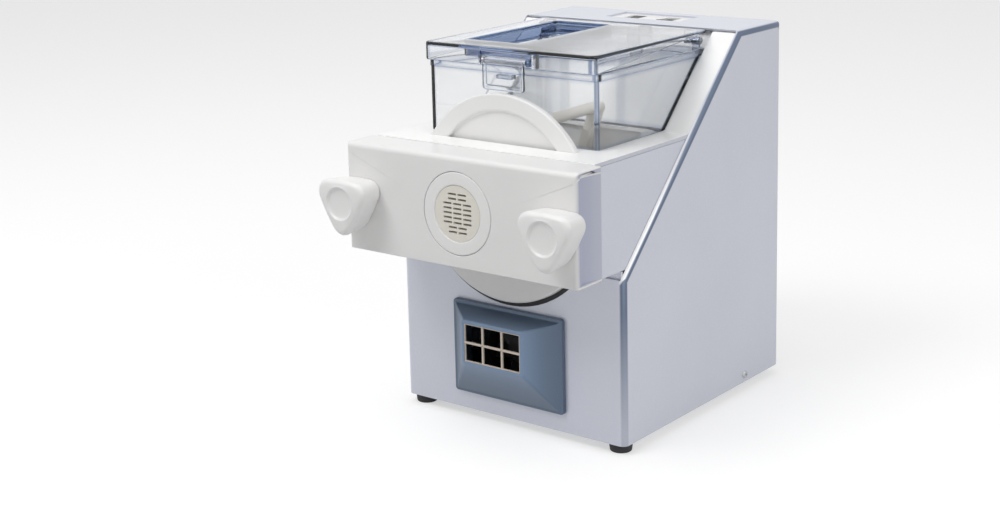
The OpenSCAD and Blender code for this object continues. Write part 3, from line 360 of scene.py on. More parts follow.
SILVER = (0.63, 0.65, 0.73)
# a lighter copy of the white plastic, as painted light for a shelf that lies in shade
SHELF_WHITE_PAINTED_LIGHT = (0.96, 0.96, 0.95)
SHELF_SIDE = (0.64, 0.655, 0.73)
# a darker copy of the white plastic, as painted shade that tones down the lit cover top
COVER_WHITE_PAINTED_SHADE = (0.83, 0.825, 0.82)
# the grey of the cover's hollowed sides is partly their silver-grey colour and partly painted shade
FLANGE_GREY_AND_SHADE = (0.42, 0.45, 0.58)
# near-black painted shade for the inside of the slot under the cover's top sheet
SLOT_PAINTED_SHADE = (0.03, 0.032, 0.045)
CASING_PAINTED_FOLD = casing_painted_fold("casing_painted_fold", SILVER)
SHELF_FINISH = shelf_finish("shelf_plastic", SHELF_WHITE_PAINTED_LIGHT, SHELF_SIDE)
# the cover's skins: the grey sides are partly painted shade, the slot fully
COVER_PLASTIC_AND_SHADE = moulded("cover_plastic_painted_shade", COVER_WHITE_PAINTED_SHADE, skins=(FLANGE_GREY_AND_SHADE, SLOT_PAINTED_SHADE))
# the grille's warm beige is a painted reflection of warm things in front of the hood
GRILLE_PAINTED_REFLECTION = moulded("grille_painted_reflection", (0.66, 0.58, 0.50), 0.4)
SLOT_FINISHES = {
    "silver_paint": metallic_paint("silver_paint", SILVER),
    # the hood's dark blue-grey is painted shade: the hood is the casing's silver lacquer lying in shade
    "hood_paint": hood_painted_shade("hood_paint", (0.10, 0.145, 0.215)),
    "white_plastic": moulded("white_plastic", (0.86, 0.855, 0.85)),
    "food_plastic": moulded("food_plastic", (0.80, 0.77, 0.70), 0.45),
    # the clear plastic's two dark blues are painted reflections along its edges
    "clear_plastic": clear("clear_plastic", (0.975, 0.98, 0.985), (0.20, 0.29, 0.50),
                           (0.05, 0.10, 0.27)),
    "black_rubber": rubber("black_rubber", (0.018, 0.018, 0.020)),
    "black_plastic": moulded("black_plastic", (0.022, 0.022, 0.025), 0.42, 0.05),
    "red_plastic": moulded("red_plastic", (0.55, 0.06, 0.04), 0.4),
    "screw_steel": metal("screw_steel", (0.50, 0.51, 0.53), 0.32),
    "bright_steel": metal("bright_steel", (0.62, 0.63, 0.65), 0.2, (1, 12, 1)),
    "plated_sheet": metal("plated_sheet", (0.40, 0.42, 0.45), 0.38, (1, 1, 6), 0.02),
    "cast_alloy": metal("cast_alloy", (0.52, 0.53, 0.55), 0.5, (1, 1, 1), 0.08),
    "sintered_bronze": metal("sintered_bronze", (0.50, 0.32, 0.13), 0.42),
    "gear_plastic": moulded("gear_plastic", (0.72, 0.66, 0.50), 0.4),
    "motor_iron": stacked_sheets("motor_iron", (0.25, 0.26, 0.28), 0.8 * MM, "Y", 0.9),
    "copper_wire": stacked_sheets("copper_wire", (0.55, 0.22, 0.08), 1.1 * MM, "Z", 0.8),
}


def dress_nodes():
    """Gives every CAD node the finish of its material slot."""
    for part in frame["record"]["subparts"]:
        mesh = NODES[part["node"]].data
        mesh.materials.clear()
        mesh.materials.append(SLOT_FINISHES[part["material_slot"]])


# ---------------------------------------------------------------- surfaces
def filleted(points, radius, steps=4):
    """A closed polyline with rounded corners: each corner gives way to the
    quadratic curve that leaves it a radius before, arrives a radius after and has
    the corner as its control point."""
    points = np.asarray(points, float)
    radius = np.broadcast_to(radius, len(points))[:, None]
    before, after = np.roll(points, 1, 0) - points, np.roll(points, -1, 0) - points
    length = [np.linalg.norm(side, axis=1, keepdims=True) for side in (before, after)]
    reach = [np.minimum(radius, size * 0.48) / size for size in length]
    start, end = points + before * reach[0], points + after * reach[1]
    t = np.linspace(0, 1, steps + 1)[None, :, None]
    curve = ((1 - t) ** 2 * start[:, None] + 2 * t * (1 - t) * points[:, None]
             + t ** 2 * end[:, None])
    return curve.reshape(-1, 2)


PER_CORNER = 24
ROUND = 4 * PER_CORNER


def circle(radius, count=ROUND):
    """Points on a circle, anticlockwise from +X."""
    turn = np.arange(count) / count * 2 * np.pi
    return radius * np.stack((np.cos(turn), np.sin(turn)), 1)


def rectangle(half_w, half_h, radius, centre=(0.0, 0.0), per_corner=PER_CORNER):
    """A rectangle with corner arcs, each of as many points, anticlockwise from +X."""
    turn = (np.arange(per_corner) + 0.5) / per_corner * np.pi / 2
    turn = (turn[None, :] + np.arange(4)[:, None] * np.pi / 2).ravel()
    arc = np.stack((np.cos(turn), np.sin(turn)), 1)
    middle = np.array((half_w - radius, half_h - radius)) * np.where(arc > 0, 1, -1)
    return middle + radius * arc + np.array(centre)


def facing_front(outline, y):
    """An outline in X and Z set upright at y."""
    return np.stack((outline[:, 0], np.full(len(outline), y), outline[:, 1]), 1)


def facing_up(outline, z):
    """An outline in X and Y laid level at z."""
    return np.column_stack((outline, np.full(len(outline), z)))


def turned(profile, x, z, count=ROUND, rise=0.0):
    """A profile of (radius, y) turned about an axis along Y: each profile point
    becomes a ring of that radius at that y, raised by its rise."""
    rise = np.broadcast_to(rise, len(profile))
    return np.stack([facing_front(circle(r, count) + np.array((x, z + up)), y)
                     for (r, y), up in zip(profile, rise)])


def turned_x(profile, y, z):
    """A profile of (radius, x) turned about an axis along X."""
    ring = circle(1.0, 32)
    return np.stack([
        np.stack((np.full(len(ring), x), y + r * ring[:, 0], z + r * ring[:, 1]), 1)
        for r, x in profile])


def soft_block(low, high, radius, axis=2):
    """A block with rounded edges: rounded rectangles stacked along an axis, drawn
    in by a quarter circle towards both ends."""
    low, high = np.asarray(low, float), np.asarray(high, float)
    first, second = [k for k in range(3) if k != axis]
    half = (high - low) / 2
    turn = np.linspace(0, np.pi / 2, 5)
    inset = radius * (1 - np.sin(turn))
    level = radius * (1 - np.cos(turn))
    inset, level = (np.concatenate((inset, inset[::-1])),
                    np.concatenate((level, high[axis] - low[axis] - level[::-1])))
    rows = []
    for draw, rise in zip(inset, level):
        flat = rectangle(half[first] - draw, half[second] - draw,
                         max(radius - draw, radius * 0.2), per_corner=6)
        row = np.zeros((len(flat), 3))
        row[:, first] = flat[:, 0] + (low + half)[first]
        row[:, second] = flat[:, 1] + (low + half)[second]
        row[:, axis] = low[axis] + rise
        rows.append(row)
    return np.stack(rows)


def skin(rows, ring):
    """Quads over a grid of rows that each close on themselves. A ring of rows
    closes too; otherwise the first and last rows are capped. Faces are turned
    so that the closed form's volume is positive."""
    count, width = rows.shape[:2]
    index = np.arange(count * width).reshape(count, width)
    over = np.roll(index, -1, 0) if ring else index[1:]
    here = index if ring else index[:-1]
    quads = np.stack((here, np.roll(here, -1, 1), np.roll(over, -1, 1), over), -1).reshape(-1, 4)
    faces = quads.tolist()
    if not ring:
        faces += [index[0][::-1].tolist(), index[-1].tolist()]
    flat = rows.reshape(-1, 3)
    flat = flat - flat.mean(0)
    volume = sum(
        np.einsum("ij,ij->", flat[quads[:, 0]], np.cross(flat[quads[:, a]], flat[quads[:, b]]))
        for a, b in ((1, 2), (2, 3)))
    for cap in faces[len(quads):]:
        corner = flat[cap]
        volume += np.einsum(
            "ij,ij->", np.broadcast_to(corner[0], corner[1:-1].shape),
            np.cross(corner[1:-1], corner[2:]))
    if volume < 0:
        faces = [face[::-1] for face in faces]
    return faces


def piece(name, body, slot, replaces, grids, finish=None, edges=None):
    """Joins closed skins into one mesh object that rides on a body.

    Each grid is (rows, ring). Where edges are given, each is a grid's value of
    the edge attribute that the clear plastic and the cover's plastic read: one
    number, one for each row in a column, or one for each point."""
    points, faces, marks = [], [], []
    for number, (rows, ring) in enumerate(grids):
        start = sum(map(len, points))
        faces += [[start + k for k in face] for face in skin(rows, ring)]
        points.append(rows.reshape(-1, 3))
        mark = edges[number] if edges else 0.0
        marks.append(np.broadcast_to(mark, rows.shape[:2]).ravel())
    mesh = bpy.data.meshes.new(name)
    mesh.from_pydata(np.concatenate(points).tolist(), [], faces)
    if edges:
        layer = mesh.attributes.new("edge", "FLOAT", "POINT")
        layer.data.foreach_set("value", np.concatenate(marks))
    return settle(name, mesh, body, slot, replaces, finish)


def settle(name, mesh, body, slot, replaces, finish=None):
    """Makes a mesh into a smooth-shaded piece of the object on its body."""
    mesh.shade_smooth()
    mesh.set_sharp_from_angle(angle=np.radians(50))
    thing = bpy.data.objects.new(name, mesh)
    bpy.context.collection.objects.link(thing)
    mesh.materials.clear()
    mesh.materials.append(finish or SLOT_FINISHES[slot])
    weighted = thing.modifiers.new("normals", "WEIGHTED_NORMAL")
    weighted.keep_sharp = True
    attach(thing, body)
    if replaces:
        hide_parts(*replaces)
    return thing


BEVEL_ANGLE = np.radians(35)


def softened(name, node, body, slot, width, finish=None):
    """A CAD node's own form with its sharp edges rounded by a bevel of this width."""
    mesh = NODES[node].data.copy()
    work = bmesh.new()
    work.from_mesh(mesh)
    bmesh.ops.remove_doubles(work, verts=work.verts, dist=1e-6)
    bmesh.ops.dissolve_limit(work, angle_limit=np.radians(1.0), verts=work.verts, edges=work.edges)
    work.to_mesh(mesh)
    work.free()
    mesh.name = name
    for layer in list(mesh.attributes):
        if layer.name == "custom_normal":
            mesh.attributes.remove(layer)
    thing = settle(name, mesh, body, slot, [node], finish)
    bevel = thing.modifiers.new("bevel", "BEVEL")
    bevel.width = width
    bevel.segments = 3
    bevel.limit_method = "ANGLE"
    bevel.angle_limit = BEVEL_ANGLE
    thing.modifiers.move(1, 0)
    return thing


# ---------------------------------------------------------------- front cover
COVER_WALL = 0.003
COVER_DEEP = COVER_HIGH[1] - COVER_LOW[1]
TOP_EDGE, SIDE_EDGE, LOW_EDGE = 0.0045, 0.0030, 0.0009
CORNER_R = 0.0009
SCOOP = 0.0030
SHEET_T = 0.0040
LIP_T = 0.0022
SLOT_H = 0.0029
SLOT_IN = 0.0024
LENS_START, LENS_RUN = 0.06, 0.72
DIE_RING_R = 0.034
DIE_BORE_R, DIE_SEAT_R = 0.02305, 0.021
SEAT = 0.0003
SIDE_POINTS = 10
# across each side: 0 keeps the cover's white, 1 the flange's grey, 2 the slot's painted shade
SIDE_MARKS = (0.0, 1.0, 1.0, 0.0, 0.0, 2.0, 2.0, 2.0, 1.0, 1.0)
STUD_R = 0.004
FREE_FIT = 0.05 * MM
BOSS_R = 0.0085
BOSS_BACK = COLUMN_Y - 0.0443
KNOB_LOW, KNOB_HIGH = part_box("knob_right")
KNOB_X = (KNOB_LOW[0] + KNOB_HIGH[0]) / 2


def edge_inset(depth, radius):
    """How far an edge rounded by this radius is drawn in, at a depth behind the face."""
    left = max(radius - depth, 0.0)
    return radius - np.sqrt(radius * radius - left * left)


def cover_outline(depth, wall=0.0, scoop=0.0, slot=0.0):
    """The cover's outline in X and Z at a depth behind its face, a wall inside it:
    a rectangle with small round corners, whose front edge is round along the top
    and sides and crisp below. Between the top sheet and the bottom lip its two
    sides are hollowed by the scoop, whose bright rim ends in a slot under the sheet."""
    half_w = COVER_HIGH[0] - edge_inset(depth, SIDE_EDGE) - wall
    top = COVER_HIGH[2] - edge_inset(depth, TOP_EDGE) - wall
    low = COVER_LOW[2] + edge_inset(depth, LOW_EDGE) + wall
    flat = rectangle(half_w, (top - low) / 2, CORNER_R, (0, (top + low) / 2))
    sheet, lip = COVER_HIGH[2] - SHEET_T, COVER_LOW[2] + LIP_T
    cut = min(SLOT_IN, 4 * slot)
    side = np.array((
        (0, lip - 0.0004), (scoop, lip), (scoop, sheet - 0.0016), (scoop + 0.0001, sheet - 0.0014),
        (scoop + 0.0005, sheet - 0.0003), (scoop + 0.0006 + 0.1 * cut, sheet - 0.0001),
        (scoop + 0.0006 + cut, sheet), (scoop + 0.0006 + cut, sheet + slot),
        (scoop * 0.4, sheet + slot + 0.0001), (0, COVER_HIGH[2] - CORNER_R - 0.0003)))
    share = (side[:, 1] - COVER_LOW[2]) / (COVER_HIGH[2] - COVER_LOW[2])
    side = np.stack((half_w - side[:, 0], low + share * (top - low)), 1)
    other = side[::-1] * np.array((-1, 1))
    return np.concatenate((flat[:ROUND // 2], other, flat[ROUND // 2:], side))


def cover_hole(radius):
    """A circle about the extruding axis, with one point for each of the outline's."""
    count = ROUND + 2 * SIDE_POINTS
    turn = (np.arange(count) + SIDE_POINTS / 2 + 0.5) / count * 2 * np.pi
    return radius * np.stack((np.cos(turn), np.sin(turn)), 1) + np.array((0, AXIS_Z))


def quarter(radius, steps=6):
    """(inset, depth) of an edge's rounding, from its face to its side."""
    turn = np.linspace(0, np.pi / 2, steps + 1)
    return radius * np.stack((1 - np.sin(turn), 1 - np.cos(turn)), 1)


def front_cover():
    """One closed skin: from the die's hole over the face, round the front edge,
    back along the hollowed sides, round the rim and home inside. The scoop sets in
    sharply behind the front edge and runs out towards the rim, and the slot is a
    lens. Bosses for the studs, the die's rim and the switch pin stand in it."""
    hole = DIE_RING_R + SEAT
    rows = [facing_front(cover_hole(hole), COVER_Y + COVER_WALL),
            facing_front(cover_hole(hole), COVER_Y + 0.0009),
            facing_front(cover_hole(hole + 0.0003), COVER_Y + 0.0002),
            facing_front(cover_hole(hole + 0.0010), COVER_Y)]
    marks = [0.0] * 4
    for _, depth in quarter(TOP_EDGE):
        rows.append(facing_front(cover_outline(depth), COVER_Y + depth))
        marks.append(min(depth / SIDE_EDGE, 1.0) ** 2)
    side = np.linspace(0, 1, 19)
    hollow = SCOOP * np.sin(np.pi * side ** 0.45)
    lens = SLOT_H * np.sin(np.pi * np.clip((side - LENS_START) / LENS_RUN, 0, 1)) ** 0.6
    lens = np.maximum(lens, 0.00002)
    depths = TOP_EDGE + side * (COVER_DEEP - TOP_EDGE - 0.0008)
    for depth, scoop, slot in list(zip(depths, hollow, lens))[1:]:
        rows.append(facing_front(cover_outline(depth, 0, scoop, slot), COVER_Y + depth))
    # along each side the grey fades towards the back, as painted shade that is darkest behind the front
    # edge
    marks += np.linspace(1.0, 0.72, len(side) - 1).tolist()
    back = COVER_Y + COVER_DEEP
    for inset, y in ((0.0003, back - 0.0002), (0.0009, back), (0.0021, back),
                     (0.0027, back - 0.0002), (COVER_WALL, back - 0.0008)):
        rows.append(facing_front(cover_outline(COVER_DEEP, inset), y))
        marks.append(0.6)
    for depth, scoop in list(zip(depths, hollow))[-2:3:-3]:
        rows.append(facing_front(cover_outline(COVER_DEEP, COVER_WALL, scoop), COVER_Y + depth))
        marks.append(0.0)
    for inset, depth in quarter(0.003, 3)[::-1]:
        rows.append(facing_front(
            cover_outline(COVER_DEEP, COVER_WALL + inset), COVER_Y + COVER_WALL + depth))
        marks.append(0.0)
    plain = np.zeros(ROUND // 2)
    across = np.concatenate((plain, SIDE_MARKS[::-1], plain, SIDE_MARKS))
    marks = np.array(marks)[:, None] * across[None, :]
    grids = [(np.stack(rows), True)]
    face = COVER_Y + 0.001
    for x in (-KNOB_X, KNOB_X):
        grids.append((tube_grid(STUD_R + SEAT, BOSS_R, face, BOSS_BACK, x, AXIS_Z), True))
    grids.append((tube_grid(hole + 0.003, hole + 0.007, face, COVER_Y + 0.009, 0, AXIS_Z), True))
    pin_low, pin_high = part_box("switch_plunger")
    pin_x, pin_z = ((pin_low[k] + pin_high[k]) / 2 for k in (0, 2))
    pin = [(0.004, face), (0.004, pin_low[1] - 0.0008), (0.0034, pin_low[1] - 0.0003)]
    grids.append((turned(pin, pin_x, pin_z, 32), False))
    return piece("front_cover_shell", "cover", "white_plastic", ["front_cover"], grids,
                 COVER_PLASTIC_AND_SHADE, [marks] + [0.0] * (len(grids) - 1))


def tube_grid(r_in, r_out, y0, y1, x, z):
    """A tube along Y with softened ends, as rings about its own wall."""
    profile = filleted([(r_in, y0), (r_out, y0), (r_out, y1), (r_in, y1)], 0.0006, 3)
    return turned(profile, x, z, 64)


def die_ring():
    """The ring that holds the die: a stepped profile turned about the extruding axis."""
    front, back = RING_LOW[1], RING_HIGH[1]
    flange = RING_HIGH[0]
    profile = filleted(
        [(DIE_BORE_R, front), (DIE_RING_R, front), (DIE_RING_R, front + COVER_WALL + SEAT),
         (flange, front + COVER_WALL + SEAT), (flange, back), (DIE_SEAT_R, back),
         (DIE_SEAT_R, front + 0.006), (DIE_BORE_R, front + 0.006)],
        [0.0016, 0.0012, 0.0002, 0.0006, 0.0006, 0.0006, 0.0002, 0.0002])
    return piece("die_ring_turned", "cover", "white_plastic", ["die_ring"],
                 [(turned(profile, 0, AXIS_Z, 128), True)])


# ---------------------------------------------------------------- knobs
KNOB_DEEP = 0.027
KNOB_MEAN_R = 0.022975
KNOB_WAVE = 0.003875
KNOB_SQUASH = 0.00065
DISH_R = 0.0133
DISH_DEEP = 0.0020


def knob_outline(scale):
    """A rounded triangle that points down: its radius is a mean, plus a wave with
    three crests at its corners, plus a smaller one with six that makes the sides
    bulge."""
    turn = np.arange(ROUND) / ROUND * 2 * np.pi
    crest = 3 * (turn + np.pi / 2)
    radius = KNOB_MEAN_R + KNOB_WAVE * np.cos(crest) + KNOB_SQUASH * np.cos(2 * crest)
    return scale * radius[:, None] * np.stack((np.cos(turn), np.sin(turn)), 1)


def knob(side, x):
    """A clamp knob: from the bottom of its bore out over the back, forward along
    its tapering side, round the soft front edge and down into the dish."""
    front, back = COVER_Y - KNOB_DEEP, COVER_Y - SEAT
    centre = np.array((x, AXIS_Z))
    bore = circle(STUD_R + FREE_FIT)
    rows = [(bore * 0.2, front + 0.007), (bore, front + 0.007), (bore, back - 0.0006),
            (bore * 1.12, back), (knob_outline(0.86), back), (knob_outline(0.89), back - 0.0005),
            (knob_outline(0.905), back - 0.0014)]
    for share in np.linspace(0.15, 1, 6):
        rows.append((knob_outline(0.905 + 0.095 * share ** 0.7),
                     back - 0.0014 - share * (KNOB_DEEP - 0.0074)))
    for inset, depth in quarter(0.0050)[::-1][1:]:
        rows.append((knob_outline(1 - inset / KNOB_MEAN_R), front + 0.0006 + depth))
    for share in (0.35, 0.7, 1.0):
        blend = (1 - share) * knob_outline(0.78) + share * circle(DISH_R + 0.0012)
        rows.append((blend, front + 0.0006 * (1 - share)))
    for radius, depth in ((0.0006, 0.0001), (0.0, 0.0006), (-0.0006, 0.0014),
                          (-0.0015, DISH_DEEP), (-0.005, DISH_DEEP + 0.0003),
                          (-0.0125, DISH_DEEP + 0.0005)):
        rows.append((circle(DISH_R + radius), front + depth))
    grid = np.stack([facing_front(flat + centre, y) for flat, y in rows])
    return piece(f"knob_{side}_cap", f"knob_{side}_body", "white_plastic",
                 [f"knob_{side}"], [(grid, False)])


# ---------------------------------------------------------------- head ring and seal
BAND_W = 0.014
BAND_RISE = 0.0045
BAND_STEPS = 6
BARREL_FLANGE = 0.008


def head_ring():
    """The head disc and its raised band: one stepped profile turned about the axis.
    The band's inner edge is set higher, so the band is wider below."""
    low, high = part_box("head_disc")
    outer, back, front = high[0], high[1], low[1]
    inner = outer - BAND_W - BAND_RISE
    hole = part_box("barrel")[1][0] - BARREL_FLANGE + FREE_FIT
    profile = filleted(
        [(hole, back), (outer - 0.0006, back), (outer, front), (inner, front),
         (inner - 0.0006, back - 0.003), (hole, back - 0.003)],
        [0.0003, 0.0003, 0.0022, 0.0022, 0.0016, 0.0004], BAND_STEPS)
    rise = BAND_RISE * np.repeat((0, 0, 0, 1, 1, 0), BAND_STEPS + 1)
    return piece("head_ring", "machine", "white_plastic", ["head_disc"],
                 [(turned(profile, 0, AXIS_Z, 160, rise), True)])


# ---------------------------------------------------------------- tank and lid
TANK_LOW, TANK_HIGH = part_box("tank")
LID_LOW, LID_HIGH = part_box("lid")
PIN_LOW, PIN_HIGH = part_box("lid_pin")
PIN_Y, PIN_Z = (PIN_LOW[1] + PIN_HIGH[1]) / 2, (PIN_LOW[2] + PIN_HIGH[2]) / 2
TANK_WALL = 0.003
FLANGE_OUT = 0.0015
FLANGE_LOW, FLANGE_TOP = 0.303, 0.3085
TANK_FRONT = TANK_LOW[1] + FLANGE_OUT
TANK_X = TANK_HIGH[0] - FLANGE_OUT
KNUCKLE_R = 0.0035
KNUCKLE_BORE_R = 0.00205
TANK_KNUCKLES = ((-0.084, -0.077), (0.010, 0.022), (0.077, 0.084))
LID_KNUCKLES = ((-0.0767, -0.069), (0.0223, 0.034), (0.069, 0.0767))
# how dark the painted corner reflection lines get
CORNER_REFLECTION_SHARE = 0.85


def slope_y(z, under):
    """Where the front slope, moved in by a distance, passes a height."""
    return COLUMN_Y + (np.cos(SLOPE) * (z - SLOPE_FOOT_Z) + under) / np.sin(SLOPE)


def tank_outline(z, inset, corner):
    """The tank's level outline: a rectangle with round corners whose back follows
    the slope."""
    front, back = TANK_FRONT + inset, slope_y(z, 0.004 - inset)
    return facing_up(rectangle(TANK_X - inset, (back - front) / 2, corner,
                               (0, (front + back) / 2)), z)


def corner_reflection_lines(width):
    """Two painted reflection lines in each of an outline's four corners: 1 at a quarter
    and at three quarters of the way round, 0 at the middle and at both ends."""
    share = (np.arange(width // 4) + 0.5) / (width // 4)
    return np.tile(np.clip(1.9 * np.abs(np.sin(share * 2 * np.pi)) - 0.6, 0, 1), 4)


def knuckles(spans, web_y, web_z):
    """Hinge knuckles about the lid's pin: a round barrel for each span of X, with a
    web to the part that carries it."""
    grids = []
    for x0, x1 in spans:
        profile = filleted([(KNUCKLE_BORE_R, x0), (KNUCKLE_R, x0), (KNUCKLE_R, x1),
                            (KNUCKLE_BORE_R, x1)], 0.0004, 2)
        grids.append((turned_x(profile, PIN_Y, PIN_Z), True))
        grids.append((soft_block((x0, web_y[0], web_z[0]), (x1, web_y[1], web_z[1]), 0.0008), False))
    return grids


def tank():
    """The clear tank: one skin up the outside, round the rim's flange and down the
    inside, on the outline that follows the slope."""
    rows = [(0.0004, TANK_LOW[2], 0.0028, 0.6), (0, TANK_LOW[2] + 0.0005, 0.0028, 0.5)]
    for share in np.linspace(0.06, 0.94, 6):
        rows.append((0, TANK_LOW[2] + share * (FLANGE_LOW - TANK_LOW[2]), 0.0028, 0.0))
    rows += [(0, FLANGE_LOW - 0.0012, 0.0028, 0.3), (-0.0002, FLANGE_LOW - 0.0003, 0.0032, 1.0),
             (-0.0012, FLANGE_LOW, 0.005, 1.0), (-FLANGE_OUT, FLANGE_LOW + 0.0004, 0.0065, 0.5),
             (-FLANGE_OUT, FLANGE_LOW + 0.0030, 0.0065, 0.0),
             (-FLANGE_OUT, FLANGE_TOP - 0.0005, 0.0065, 0.8), (-0.0011, FLANGE_TOP, 0.0061, 1.0),
             (TANK_WALL - 0.0006, FLANGE_TOP, 0.0026, 0.6), (TANK_WALL, FLANGE_TOP - 0.0006, 0.002, 0.2)]
    for share in np.linspace(0.9, 0.1, 5):
        rows.append((TANK_WALL, TANK_LOW[2] + share * (FLANGE_LOW - TANK_LOW[2]), 0.002, 0.0))
    rows += [(TANK_WALL, TANK_LOW[2] + 0.0004, 0.002, 0.4), (TANK_WALL - 0.0004, TANK_LOW[2], 0.0024, 0.6)]
    grid = np.stack([tank_outline(z, inset, corner) for inset, z, corner, _ in rows])
    # the marks paint dark reflections at the rim and flange edges and two lines in each corner
    marks = np.maximum(np.array([row[3] for row in rows])[:, None],
                       CORNER_REFLECTION_SHARE * corner_reflection_lines(grid.shape[1])[None, :])
    barrels = knuckles(TANK_KNUCKLES, (PIN_Y - KNUCKLE_R, PIN_Y + 0.001),
                       (FLANGE_LOW + 0.001, PIN_Z))
    return piece("tank_clear", "machine", "clear_plastic", ["tank"],
                 [(grid, True)] + barrels, edges=[marks] + [0.35] * len(barrels))


LID_STEP = 0.0015
LID_EDGE = 0.0014
LID_CORNER = 0.0065
LID_RECESS = LID_LOW[1] + 0.0063
RECESS_HALF_W = 0.0262
FRONT_START = 3 * PER_CORNER
LUG_X = (0.0213, 0.025)
SKIRT_CUT = 0.012
POUR_X = (-0.063, -0.006)
POUR_Y = (COLUMN_Y + 0.032, PIN_Y - KNUCKLE_R - 0.003)
CHUTE_WALL = 0.002


def lid():
    """The lid: one skin from the pour slot's edge over the top, down the skirt and
    back underneath to the chute that hangs from the slot. The skirt ends in front
    of the hinge."""
    front, back = LID_LOW[1] + LID_STEP, LID_HIGH[1]
    middle = (front + back) / 2

    def rim(inset, corner, z, recess=0.0):
        """The lid's outline, whose front steps back round the latch."""
        flat = rectangle(LID_HIGH[0] - inset, (back - front) / 2 - inset, corner, (0, middle))
        near, half = front + inset, RECESS_HALF_W + inset
        step = [(-half, near), (-half, near + recess), (half, near + recess), (half, near)]
        return facing_up(np.concatenate((flat[:FRONT_START], step, flat[FRONT_START:])), z)

    def slot(grow, corner, z):
        """The pour slot's outline, with as many points as the rim's."""
        half = (POUR_X[1] - POUR_X[0]) / 2, (POUR_Y[1] - POUR_Y[0]) / 2
        centre = sum(POUR_X) / 2, sum(POUR_Y) / 2
        flat = rectangle(half[0] + grow, half[1] + grow, corner, centre)
        share = np.linspace(0.2, 0.8, 4)[:, None]
        side = (1 - share) * flat[FRONT_START - 1] + share * flat[FRONT_START]
        return facing_up(np.concatenate((flat[:FRONT_START], side, flat[FRONT_START:])), z)

    top, under = TOP_Z, TOP_Z - TANK_WALL
    low, chute = LID_LOW[2], LID_LOW[2] + 0.002
    recess = LID_RECESS - front
    over = [(slot(0, 0.002, chute + 0.0004), 1.6), (slot(0, 0.002, top - 0.001), 1.6),
            (slot(0.0003, 0.0023, top - 0.0002), 1.0), (slot(0.001, 0.003, top), 0.8),
            (slot(0.003, 0.005, top), 0.12), (rim(0.0045, 0.0025, top), 0.12)]
    skirt = [(rim(LID_EDGE, LID_CORNER - LID_EDGE, top), 0.9)]
    for inset, depth in quarter(LID_EDGE, 4)[1:]:
        skirt.append((rim(inset, LID_CORNER - inset, top - depth), 1.0))
    skirt += [(rim(0, LID_CORNER, under - 0.0006), 0.3),
              (rim(0, LID_CORNER, under - 0.0008, recess), 0.05),
              (rim(0, LID_CORNER, low + 0.0010, recess), 0.1),
              (rim(0.0004, LID_CORNER - 0.0004, low, recess), 0.7),
              (rim(0.0022, LID_CORNER - 0.0022, low, recess), 0.7),
              (rim(TANK_WALL, LID_CORNER - TANK_WALL, low + 0.0006, recess), 0.1),
              (rim(TANK_WALL, LID_CORNER - TANK_WALL, under - 0.0012, recess), 0.1)]
    below = [(rim(0.004, LID_CORNER - 0.004, under, recess), 0.3),
             (slot(CHUTE_WALL + 0.001, 0.004, under), 0.12),
             (slot(CHUTE_WALL, 0.003, under - 0.001), 0.3),
             (slot(CHUTE_WALL, 0.003, chute + 0.0004), 0.7),
             (slot(CHUTE_WALL - 0.0005, 0.003, chute), 0.7),
             (slot(0.0005, 0.002, chute), 0.5)]
    rows = over + skirt + below
    grid = np.stack([row for row, _ in rows])
    # towards the hinge the skirt is cut away, in a curve up to the top plate
    cut = np.clip((grid[:, :, 1] - (PIN_Y - SKIRT_CUT)) / SKIRT_CUT, 0, 1) ** 2
    floor = low + cut * (under + 0.0010 - low)
    raised = np.abs(grid[:, :, 0]) > LID_HIGH[0] - 0.0046
    raised |= grid[:, :, 1] > PIN_Y + 0.001
    grid[:, :, 2] = np.where(raised, np.maximum(grid[:, :, 2], floor), grid[:, :, 2])
    # the marks paint dark reflections at the slot, the skirt's edges and two lines in each corner
    marks = np.repeat([[mark] for _, mark in rows], grid.shape[1], 1)
    corner = CORNER_REFLECTION_SHARE * np.insert(corner_reflection_lines(ROUND), FRONT_START, np.zeros(4))
    first, last = len(over), len(over) + len(skirt)
    marks[first:last] = np.maximum(marks[first:last], corner)
    barrels = knuckles(LID_KNUCKLES, (PIN_Y - KNUCKLE_R, PIN_Y + 0.002), (PIN_Z, TOP_Z - 0.001))
    latch_low, latch_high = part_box("latch_pin")
    pin_y, pin_z = (latch_low[1] + latch_high[1]) / 2, (latch_low[2] + latch_high[2]) / 2
    for sign in (-1, 1):
        inner, outer = sorted((sign * LUG_X[0], sign * LUG_X[1]))
        barrels.append((soft_block((inner, pin_y - 0.003, pin_z - 0.003),
                                   (outer, LID_RECESS + 0.001, pin_z + 0.003), 0.0008, 0), False))
    return piece("lid_clear", "lid_body", "clear_plastic", ["lid"],
                 [(grid, True)] + barrels, edges=[marks] + [0.2] * (len(barrels) - 1) + [1.0])


LATCH_BORE_R, LATCH_BARREL_R = 0.00155, 0.003


